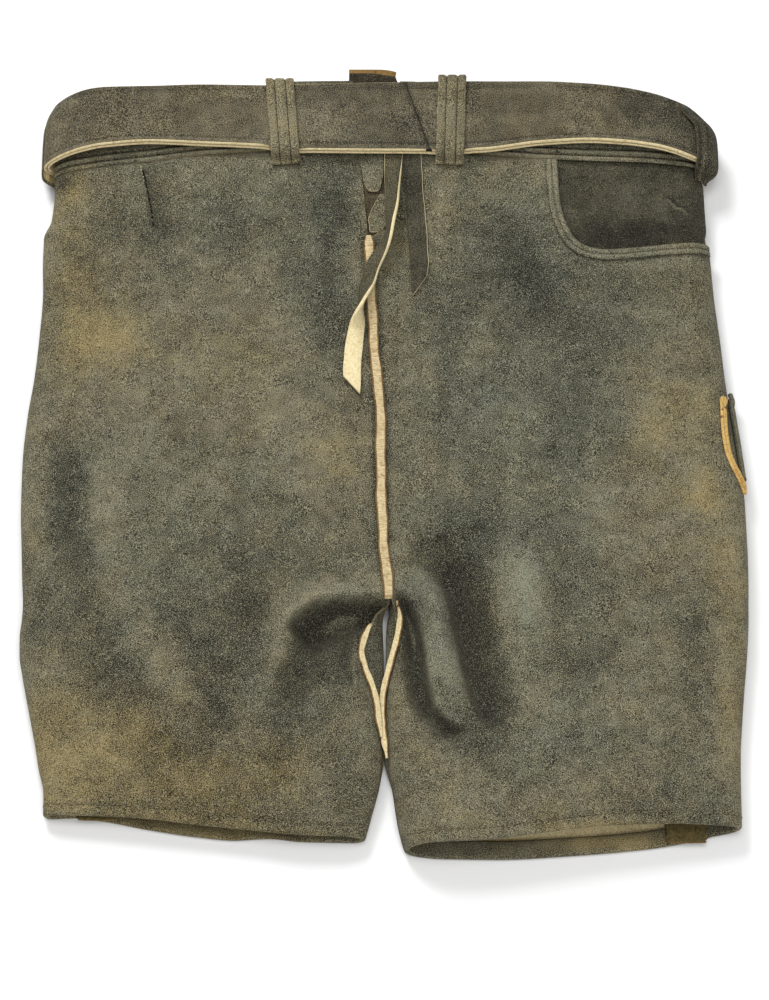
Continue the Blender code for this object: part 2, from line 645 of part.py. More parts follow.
def belt_row(side, v, inset, start_x, columns):
    """Points along one side's half of the belt, from the back joint round to the front."""
    across, round_end, under = columns
    end_x = BELT_LEFT_X if side == LEFT else BELT_RIGHT_X
    shoulder = end_x - side * BELT_UPPER_END[side]
    row = []
    for i in range(across + 1):
        x = start_x + (shoulder - start_x) * i / across
        row.append((x, BELT_TOP_Z - inset, 0.0))
    for i in range(1, round_end + 1):
        angle = math.pi / 2 - math.pi * i / round_end
        row.append((*belt_end(side, angle, inset), i / round_end))
    last = side * GAP / 2
    first = row[-1][0]
    for i in range(1, under + 1):
        row.append((first + (last - first) * i / under, BELT_FLOOR + inset, 1.0))
    points = []
    for x, z, below in row:
        low = smooth(x, [(r[0], r[1]) for r in BELT_EDGES])
        high = smooth(x, [(r[0], r[2]) for r in BELT_EDGES])
        low += (BELT_FRONT_LOW_Y - low) * below
        high += (BELT_FRONT_LOW_Y + BELT_FRONT_WIDTH - high) * below
        points.append((x, float(low + (high - low) * v), z))
    return points


def make_belt():
    """An outer layer in two lengths, joined on a slant, and a lining of one ring."""
    levels = (1.0, 0.5, 0.0)
    for side, word in ((LEFT, "left"), (RIGHT, "right")):
        rows = []
        for v in levels:
            splice = SPLICE_LOW_X + (SPLICE_HIGH_X - SPLICE_LOW_X) * v + side * GAP / 2
            rows.append(belt_row(side, v, 0.0, splice, (9, 10, 4)))
        shell(f"belt_outer_{word}", rows, "suede", BELT_LAYER, flip=side == RIGHT)
    inset = BELT_LAYER + 2 * GAP
    rows = []
    for v in levels:
        left = belt_row(LEFT, v, inset, 0.0, (7, 10, 4))
        right = belt_row(RIGHT, v, inset, 0.0, (7, 10, 4))
        rows.append(left + right[:0:-1])
    shell("belt_lining", rows, "cut_edge", LINING, flip=False, ring=True)


# Belt loops.

LOOP_WIDTH = 20.0
# name, centre x at the foot and at the top, top y.
BACK_LOOPS = (("loop_back_left", -69.5, -75.0, 276.5), ("loop_back_right", 46.0, 48.5, 279.0))
FRONT_LOOPS = (("loop_front_left", -74.0), ("loop_front_right", 74.0))
SIDE_LOOPS = (("loop_side_left", LEFT, -40, 0.4), ("loop_side_right", RIGHT, 24, 1.0))
LOOP_FOOT_Y = 206.5


def make_loops():
    """Loops over the belt: two at the back, two under the front, one at each side."""
    for name, foot_x, top_x, top_y in BACK_LOOPS:
        side = LEFT if foot_x < 0 else RIGHT
        foot = outer_z(side, foot_x, LOOP_FOOT_Y) + 2 * GAP
        over = BELT_TOP_Z + GAP
        y = top_y - LOOP_THICKNESS
        profile = (
            (LOOP_FOOT_Y, foot), (211.5, foot + 0.4), (214.4, foot + 3.0), (215.6, over - 1.2),
            (217.2, over), (232, over), (250, over), (y - 1.6, over), (y - 0.5, over - 0.8),
            (y, over - 3.0), (y, 32.3),
        )
        path, normals = [], []
        for y, z in profile:
            share = (y - LOOP_FOOT_Y) / (top_y - LOOP_FOOT_Y)
            path.append((foot_x + (top_x - foot_x) * share, y, z))
        slopes = np.gradient(np.array(path), axis=0)
        normals = [(0, -dz, dy) for _, dy, dz in slopes]
        ribbon(name, path, [LOOP_WIDTH] * len(path), normals, "suede", LOOP_THICKNESS)
    low, high = BELT_FRONT_LOW_Y, BELT_FRONT_LOW_Y + BELT_FRONT_WIDTH
    profile = (
        (low - 8, WAIST_FLOOR - 0.6), (low - 4, WAIST_FLOOR - 1.2), (low - 1.2, LOOP_THICKNESS + 0.4),
        (low - 0.2, LOOP_THICKNESS), (low + 25, LOOP_THICKNESS), (high + 0.2, LOOP_THICKNESS),
        (high + 1.2, LOOP_THICKNESS + 0.4), (high + 4, WAIST_FLOOR - 1.2), (high + 8, WAIST_FLOOR - 0.6),
    )
    for name, x in FRONT_LOOPS:
        path = [(x, y, z) for y, z in profile]
        slopes = np.gradient(np.array(path), axis=0)
        normals = [(0, dz, -dy) for _, dy, dz in slopes]
        ribbon(name, path, [LOOP_WIDTH] * len(path), normals, "suede", LOOP_THICKNESS)
    for name, side, degrees, slack in SIDE_LOOPS:
        make_side_loop(name, side, degrees, slack)


def make_side_loop(name, side, degrees, slack):
    """A loop that stands off the belt where the belt turns round the side."""
    # y, share of the way from the waistband out to the belt, distance outside the belt
    stations = (
        (202, 0.0, 0.3), (205, 0.2, 0.5), (207.5, 0.8, 1.2), (211, 1.0, 2.4), (220, 1.0, 3.2),
        (238, 1.0, 3.6), (252, 1.0, 2.8), (263, 1.0, 1.6), (266.5, 0.8, 0.8), (269.5, 0.05, 0.3),
    )
    rows = []
    for y, share, off in stations:
        row = row_at(SECTIONS[side], SECTION_COLUMNS, y)
        shoulder = row["out_x"] - side * row["roll"]
        middle, half = (row["side_z"] + WAIST_FLOOR) / 2, (row["side_z"] - WAIST_FLOOR) / 2
        points = []
        for spread in (-26, -9, 9, 26):
            angle = math.radians(degrees + spread)
            bx, bz = belt_end(side, angle, 0.0)
            wx = shoulder + side * row["roll"] * math.cos(angle)
            wz = middle + half * math.sin(angle)
            away = 0.5 + off * slack
            x = wx + (bx - wx) * share + side * away * math.cos(angle)
            z = wz + (bz - wz) * share + away * math.sin(angle)
            points.append((x, y, z))
        rows.append(points)
    shell(name, rows, "suede", LOOP_THICKNESS, flip=side == RIGHT, offset=1.0)


# Pockets.


def make_hip_pocket():
    """The dark facing behind the mouth of the hip pocket, and the mouth's bound edge."""
    rows = []
    for y in steps(WAIST_SEAM_Y - 1, 136, 6):
        rows.append(back_section(RIGHT, y, (5, 6, 0), start=114.0, turn=0.62, crowd=1.0))
    inside = moved(rows, -(LEATHER + 3 * GAP), flip=True)
    shell("hip_pocket_facing", inside, "suede_dark", LEATHER, flip=True)
    outline = np.array(POCKET_MOUTH[1:], float)
    along = np.gradient(outline, axis=0)
    along /= np.linalg.norm(along, axis=1, keepdims=True)
    away = np.stack([along[:, 1], -along[:, 0]], axis=1)
    rows = []
    for (x, y), (dx, dy) in zip(outline, away, strict=True):
        row = []
        for step in (0.0, POCKET_EDGE_WIDTH / 2, POCKET_EDGE_WIDTH):
            px, py = x + dx * step, y + dy * step
            row.append((px, py, outer_z(RIGHT, px, py) + 2 * GAP))
        rows.append(row)
    shell("hip_pocket_edge", rows, "suede", LEATHER, flip=False, offset=1.0)


# x and y of the yellow welt beside the knife pocket.
KNIFE_WELT = (
    (230.5, 33), (231.2, 20), (232.0, 4), (233.2, -11), (235.8, -21), (239.2, -28.5), (242.2, -35),
)


def make_knife_pocket():
    """A slim pocket on the right side, with its yellow welt."""
    rows = []
    for y in steps(37, -27, 7):
        row = row_at(SECTIONS[RIGHT], SECTION_COLUMNS, y)
        shoulder = row["out_x"] - row["roll"]
        middle, half = row["side_z"] / 2, row["side_z"] / 2
        points = []
        for degrees in (31, 15, -2, -22, -42):
            angle = math.radians(degrees)
            x = shoulder + (row["roll"] + 1.6) * math.cos(angle)
            points.append((x, y, middle + (half + 1.2) * math.sin(angle)))
        rows.append(points)
    shell("knife_pocket", rows, "suede", LEATHER, flip=True, offset=1.0)
    path = [(x, y, outer_z(RIGHT, x, y) + 3 * GAP) for x, y in KNIFE_WELT]
    facing = [(0.55, 0, 0.83)] * len(path)
    ribbon("knife_welt", path, [4.2] * len(path), facing, "welt_yellow", WELT_HEIGHT)


# The closure under the front, and the belt's buckle.


def make_underlap():
    """The strip behind the front opening."""
    rows = [
        [(x, y, floor_at(y) + 2 * LEATHER + 3 * GAP) for x in (-18, 0, 18)]
        for y in steps(205, 60, 7)
    ]
    shell("fly_underlap", rows, "suede_dark", LEATHER, flip=True)


BUCKLE_SIZE = (46.0, 64.0)
BUCKLE_BAR = 5.0
BUCKLE_THICKNESS = 2.0


def add_block(name, size, place, colour):
    """A bevelled block, as wide, long and high as size says."""
    work = bmesh.new()
    bmesh.ops.create_cube(work, size=1.0)
    bmesh.ops.scale(work, vec=[s * MM for s in size], verts=work.verts)
    mesh = bpy.data.meshes.new(name)
    work.to_mesh(mesh)
    work.free()
    piece = bpy.data.objects.new(name, mesh)
    piece.location = [c * MM for c in place]
    mesh.materials.append(material(colour, metallic=1.0, roughness=0.4))
    return piece


def make_buckle():
    """A plain frame with one prong, lying under the belt at the front."""
    middle_y = BELT_FRONT_LOW_Y + BELT_FRONT_WIDTH / 2
    place = (0.0, middle_y, BUCKLE_THICKNESS / 2 + 0.05)
    frame = add_block("buckle_frame", (*BUCKLE_SIZE, BUCKLE_THICKNESS), place, "old_brass")
    bpy.data.collections["Lederhosen"].objects.link(frame)
    hole = add_block(
        "buckle_window",
        (BUCKLE_SIZE[0] - 2 * BUCKLE_BAR, BUCKLE_SIZE[1] - 2 * BUCKLE_BAR, 8),
        place, "old_brass",
    )
    bpy.data.collections["Cutters"].objects.link(hole)
    hole.hide_render = True
    hole.display_type = "WIRE"
    cut = frame.modifiers.new("Window", "BOOLEAN")
    cut.operation = "DIFFERENCE"
    cut.solver = "EXACT"
    cut.object = hole
    bevel = frame.modifiers.new("Edges", "BEVEL")
    bevel.width = 0.0004
    bevel.segments = 1
    reach = BUCKLE_SIZE[0] - 2 * BUCKLE_BAR - 2 * GAP
    prong = add_block("buckle_prong", (reach, 4.0, 1.4), place, "old_brass")
    bpy.data.collections["Lederhosen"].objects.link(prong)


def main():
    for old in list(bpy.data.objects):
        bpy.data.objects.remove(old)
    for name in ("Lederhosen", "Cutters"):
        group = bpy.data.collections.new(name)
        bpy.context.scene.collection.children.link(group)
    make_panels()
    make_waistband()
    make_hems()
    make_welts()
    make_slit()
    make_laces()
    make_belt()
    make_loops()
    make_hip_pocket()
    make_knife_pocket()
    make_underlap()
    make_buckle()


main()
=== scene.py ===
"""Looks for the lederhosen: olive-brown suede, cream cut edges, welts, laces and stitches.

Lengths are in millimetres and become metres when a mesh is made. +X is the wearer's right,
+Y the waist and +Z up from the table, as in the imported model.
"""

import json
import math

import bpy
import numpy as np
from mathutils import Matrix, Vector

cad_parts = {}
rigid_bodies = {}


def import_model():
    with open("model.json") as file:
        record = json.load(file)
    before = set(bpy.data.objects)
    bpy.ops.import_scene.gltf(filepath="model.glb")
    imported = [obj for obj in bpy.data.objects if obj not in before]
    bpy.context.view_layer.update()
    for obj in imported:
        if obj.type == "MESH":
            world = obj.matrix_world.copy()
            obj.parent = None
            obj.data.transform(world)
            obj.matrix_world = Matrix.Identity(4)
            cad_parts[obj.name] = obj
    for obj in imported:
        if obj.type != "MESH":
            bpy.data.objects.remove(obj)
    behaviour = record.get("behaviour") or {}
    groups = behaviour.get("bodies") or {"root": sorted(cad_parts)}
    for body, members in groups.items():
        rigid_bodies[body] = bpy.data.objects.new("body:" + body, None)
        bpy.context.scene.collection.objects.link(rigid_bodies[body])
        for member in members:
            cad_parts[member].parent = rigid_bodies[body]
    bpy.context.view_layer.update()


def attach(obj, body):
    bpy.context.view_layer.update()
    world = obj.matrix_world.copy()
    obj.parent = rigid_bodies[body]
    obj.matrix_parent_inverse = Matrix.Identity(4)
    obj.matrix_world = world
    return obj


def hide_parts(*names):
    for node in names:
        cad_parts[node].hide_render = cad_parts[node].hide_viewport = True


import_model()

MM = 0.001

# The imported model's driving dimensions.
LEATHER = 1.8
GAP = 0.3
BELT_LAYER = 2.2
LINING = 1.7
LACE_THICKNESS = 1.6
LOOP_THICKNESS = 2.2
WELT_HEIGHT = 2.2
WAIST_SEAM_Y = 214.0
WAIST_TOP_Y = 278.0
CROTCH_Y = -123.0
HEM_Y = -272.0
SIDE_WRAP = 48.0
BELT_FLOOR = LOOP_THICKNESS + GAP
WAIST_FLOOR = BELT_FLOOR + BELT_LAYER + LINING + 4 * GAP
PROUD = GAP
CROTCH_CLEAR = 3.4
LEFT, RIGHT = -1, 1
SIDES = ((LEFT, "left"), (RIGHT, "right"))

# One row for each cross-section: the inner edge of the back panel (centre seam above the
# crotch, inseam below it), the crown of the panel, the shoulder where it rolls over the
# side, the width of that roll, and the outline.
SECTION_COLUMNS = ("y", "edge_x", "edge_z", "rise", "crown", "side_z", "roll", "out_x")
SECTIONS = {
    LEFT: (
        (-290, -17.0, 8.0, 26, 17.0, 13, 10, -221.0),
        (-272, -12.5, 8.0, 26, 18.0, 14, 10, -221.0),
        (-254, -7.5, 8.5, 26, 20.0, 15, 12, -221.5),
        (-238, -3.0, 9.0, 26, 21.5, 17, 14, -225.0),
        (-220, -1.2, 9.5, 26, 22.5, 18, 15, -228.0),
        (-200, -3.6, 10.5, 26, 24.0, 19, 16, -232.0),
        (-184, -5.8, 12.0, 26, 25.5, 20, 17, -235.5),
        (-168, -11.0, 15.0, 26, 26.5, 21, 18, -239.0),
        (-154, -15.0, 18.0, 26, 27.0, 21, 18, -241.5),
        (-140, -10.5, 21.5, 26, 27.5, 22, 18, -242.0),
        (-129, -5.0, 24.0, 26, 28.0, 22, 18, -241.2),
        (-121, 3.0, 25.5, 30, 28.0, 22, 18, -241.0),
        (-100, 1.0, 27.0, 60, 28.5, 23, 18, -242.5),
        (-78, -1.3, 27.5, 60, 28.5, 23, 18, -244.0),
        (-48, -2.0, 27.5, 60, 28.5, 23, 18, -246.0),
        (-12, -2.4, 27.0, 60, 28.0, 23, 18, -246.6),
        (20, -3.3, 27.0, 60, 28.0, 23, 18, -245.0),
        (50, -6.0, 27.0, 60, 28.0, 23, 18, -241.8),
        (80, -7.6, 27.0, 60, 28.0, 23, 18, -240.0),
        (112, -9.6, 27.0, 60, 28.0, 23, 18, -239.0),
        (146, -11.0, 27.5, 60, 28.5, 23, 18, -240.5),
        (160, -12.0, 28.0, 60, 29.0, 24, 18, -240.5),
        (176, -13.5, 28.5, 60, 29.5, 24, 18, -235.5),
        (202, -17.0, 30.0, 60, 30.5, 25, 18, -234.0),
        (214, -19.0, 30.8, 60, 31.2, 26, 18, -234.0),
        (236, -20.0, 31.5, 60, 31.5, 26, 18, -233.5),
        (290, -23.0, 31.5, 60, 31.5, 26, 18, -231.0),
    ),
    RIGHT: (
        (-290, 19.5, 8.0, 26, 29.0, 20, 14, 230.0),
        (-272, 13.0, 8.0, 26, 30.0, 20, 14, 230.5),
        (-254, 8.0, 8.5, 26, 29.0, 20, 15, 231.0),
        (-238, 5.2, 9.0, 26, 28.0, 20, 16, 231.5),
        (-220, 1.2, 9.5, 26, 27.0, 20, 17, 232.5),
        (-200, 0.2, 10.5, 26, 26.5, 20, 18, 234.5),
        (-182, 1.2, 12.5, 26, 26.5, 21, 18, 236.5),
        (-162, 5.9, 16.0, 26, 27.0, 21, 18, 239.0),
        (-144, 9.6, 20.5, 26, 27.5, 22, 18, 241.0),
        (-131, 9.5, 24.0, 26, 28.0, 22, 18, 242.0),
        (-121, 4.5, 25.5, 30, 28.0, 22, 18, 242.5),
        (-100, 1.3, 27.0, 60, 28.5, 23, 18, 243.5),
        (-78, -1.0, 27.5, 60, 28.5, 23, 18, 244.0),
        (-48, -1.7, 27.5, 60, 28.5, 23, 18, 244.0),
        (-12, -2.1, 27.0, 60, 28.0, 23, 18, 241.0),
        (20, -3.0, 27.0, 60, 28.0, 23, 18, 237.5),
        (50, -5.7, 27.0, 60, 28.0, 23, 18, 235.0),
        (80, -7.3, 27.0, 60, 28.0, 23, 18, 233.0),
        (112, -9.3, 27.0, 60, 28.0, 23, 18, 230.5),
        (146, -10.7, 27.5, 60, 28.5, 23, 18, 229.0),
        (153, -9.0, 27.8, 60, 28.8, 24, 18, 228.0),
        (161, 2.0, 28.0, 60, 29.0, 24, 18, 227.5),
        (172, 6.0, 28.5, 60, 29.5, 24, 18, 226.5),
        (202, 8.0, 30.0, 60, 30.5, 25, 18, 226.0),
        (214, 9.0, 30.8, 60, 31.2, 26, 18, 226.0),
        (236, 10.0, 31.5, 60, 31.5, 26, 18, 225.5),
        (290, 11.0, 31.5, 60, 31.5, 26, 18, 224.0),
    ),
}

# The front panel's inner edge where it leaves the table: the height at which it meets its
# neighbour, and where its inner face stands and comes down to the table.
FRONT_COLUMNS = ("y", "edge_x", "edge_z", "belly_x", "foot_x")
FRONT_EDGES = {
    LEFT: (
        (-290, -17.0, 8.0, -17.0, -27.0),
        (-272, -12.5, 8.0, -12.6, -23.0),
        (-254, -7.5, 8.5, -7.6, -18.0),
        (-238, -3.0, 9.0, -3.1, -14.0),
        (-220, -1.2, 9.5, 1.0, -12.0),
        (-200, -3.6, 10.5, 1.6, -12.0),
        (-184, -5.8, 12.0, 2.3, -12.0),
        (-168, -11.0, 15.0, 3.2, -12.0),
        (-154, -15.0, 18.0, 3.8, -12.0),
        (-140, -10.5, 21.5, 2.4, -12.0),
        (-129, -5.0, 24.0, 1.0, -12.0),
        (-121, 2.6, 22.5, 0.6, -12.0),
        (-112, 2.0, 14.0, 0.8, -10.0),
        (-100, 1.0, 6.0, 0.6, -8.0),
        (-86, 0.0, 0.0, -2.0, -6.0),
        (290, 0.0, 0.0, -2.0, -6.0),
    ),
    RIGHT: (
        (-290, 19.5, 8.0, 19.5, 30.0),
        (-272, 13.0, 8.0, 13.1, 24.0),
        (-254, 8.0, 8.5, 8.1, 19.0),
        (-238, 5.2, 9.0, 5.3, 16.0),
        (-220, 1.2, 9.5, -1.6, 13.0),
        (-200, 0.2, 10.5, -1.2, 12.0),
        (-182, 1.2, 12.5, -1.4, 12.0),
        (-162, 5.9, 16.0, -2.2, 12.0),
        (-144, 9.6, 20.5, -2.2, 12.0),
        (-131, 9.5, 24.0, -1.4, 12.0),
        (-121, 4.9, 22.5, 2.0, 14.0),
        (-112, 2.6, 14.0, 2.0, 12.0),
        (-100, 1.6, 6.0, 1.8, 10.0),
        (-86, 0.6, 0.0, 2.6, 6.6),
        (290, 0.6, 0.0, 2.6, 6.6),
    ),
}

# How far the waist seam stands above or below its nominal line, along X.
WAIST_SEAM = (
    (-234, -8.0), (-202, -3.5), (-166, -0.5), (-131, 4.0), (-81, 7.5), (-32, 9.0),
    (39, 7.5), (82, 3.5), (117, 0.5), (153, -0.5), (181, -0.5), (226, -3.0),
)
# Where each hem lies, along X.
BACK_HEM = {
    LEFT: (
        (-221, -264.5), (-183, -266.0), (-151, -268.5), (-118, -272.5), (-86, -276.0),
        (-54, -279.5), (-12, -280.5),
    ),
    RIGHT: (
        (12, -288.5), (61, -286.5), (99, -282.0), (138, -276.5), (169, -274.5),
        (195, -273.5), (231, -273.5),
    ),
}
FRONT_HEM = {
    LEFT: (
        (-221, -264.5), (-201, -263.5), (-178, -266.5), (-152, -271.5), (-119, -276.5),
        (-97, -278.5), (-74, -277.5), (-54, -279.5), (-12, -280.5),
    ),
    RIGHT: (
        (12, -288.5), (36, -291.0), (74, -291.5), (113, -289.5), (165, -285.0),
        (204, -278.5), (214, -275.5), (231, -273.5),
    ),
}

# The largest folds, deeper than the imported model's: height (negative for a trough), half
# width, line.
FOLDS = (
    (6.0, 10, ((2, -112), (-26, -113), (-50, -119), (-66, -133), (-78, -168))),
    (-9.5, 11, ((-15, -129), (-29, -132), (-47, -147), (-58, -174), (-70, -212))),
    (-7.0, 6, ((17, -116), (18, -136), (18, -162), (21, -188), (40, -211))),
    (9.0, 9, ((26, -106), (34, -124), (37, -148), (41, -174), (56, -206))),
    (-8.5, 13, ((26, -80), (45, -108), (56, -146), (66, -178), (78, -226))),
    (-2.5, 26, ((-190, -150), (-150, -215), (-90, -240), (-40, -200))),
    (-2.0, 26, ((110, -90), (150, -120), (160, -180))),
    (1.6, 20, ((-60, 170), (-35, 120), (-40, 40))),
)
# Smaller creases that only the looks have, in the same columns.
CREASES = (
    (-1.5, 4.0, ((-172, 208), (-169, 198), (-164, 174), (-161, 160))),
    (-1.5, 12, ((-160, 172), (-156, 160), (-150, 146))),
    (1.0, 9, ((-182, 205), (-178, 180), (-172, 150), (-150, 120))),
    (-1.3, 13, ((-20, 205), (-36, 180), (-44, 130), (-40, 90), (-30, 50))),
    (1.2, 14, ((-75, 200), (-80, 150), (-70, 90), (-62, 20))),
    (-1.0, 16, ((-110, 195), (-112, 150), (-100, 100))),
    (-1.2, 15, ((60, 190), (85, 150), (110, 100), (100, 60))),
    (1.0, 12, ((40, 150), (60, 110), (62, 60), (50, 10))),
    (0.9, 12, ((120, 118), (160, 60), (180, 0), (190, -50))),
    (-1.1, 14, ((60, -10), (74, -45), (60, -85))),
    (1.6, 12, ((84, -70), (92, -110), (95, -160), (98, -205), (112, -250))),
    (-1.2, 14, ((118, -90), (122, -150), (128, -205))),
    (1.1, 14, ((150, -70), (158, -130), (170, -190), (172, -250))),
    (-1.2, 12, ((200, -110), (205, -160), (198, -215))),
    (-2.0, 13, ((-225, 10), (-212, -30), (-206, -75), (-196, -120), (-170, -175))),
    (1.4, 12, ((-196, -20), (-186, -80), (-168, -130), (-140, -180), (-118, -225))),
    (-1.4, 12, ((-150, -110), (-130, -150), (-108, -200), (-96, -245))),
    (1.5, 10, ((-120, -100), (-104, -140), (-86, -190), (-66, -235))),
    (-1.6, 11, ((-104, -85), (-92, -112), (-84, -140), (-86, -175))),
    (-1.0, 9, ((-178, -205), (-150, -235), (-128, -268))),
    (1.0, 8, ((-200, -190), (-182, -222), (-170, -262))),
    (-1.0, 10, ((70, -215), (86, -245), (92, -280))),
    (1.0, 9, ((45, -225), (60, -255), (58, -285))),
    (1.8, 8, ((0, -94), (22, -74), (48, -60))),
    (-1.4, 7, ((18, -90), (44, -80), (76, -74))),
    (-1.3, 6, ((-144, -131), (-104, -128), (-66, -119))),
    (1.8, 9, ((-72, -158), (-84, -190), (-98, -228))),
    (1.2, 9, ((-152, 152), (-120, 132), (-90, 112))),
)
# Cloth that hangs over: depth of the drop, how sharp its lip is, how far until the cloth is
# level again, and the line of the lip. The high side is on the right of the line's direction.
LIPS = (
    (11.0, 1.2, 24, ((4, -119), (-10, -120.5), (-28, -121.5), (-46, -125), (-58, -133),
                     (-66, -144))),
    (11.0, 1.1, 9, ((56, -212), (42, -207), (32, -197), (27.5, -176), (25.5, -154), (21.5, -137),
                    (15.5, -121), (11, -116.5), (6, -116))),
    (6.0, 2.6, 18, ((30, -96), (42, -116), (46, -136), (48, -150), (51, -167), (55, -185),
                    (63, -202), (71, -213))),
    (3.0, 0.8, 8, ((-171.8, 215), (-168.5, 199), (-164, 174), (-162, 158))),
    (4.0, 1.2, 9, ((-20, -182), (-22, -170), (-22.5, -148), (-20.5, -126))),
)
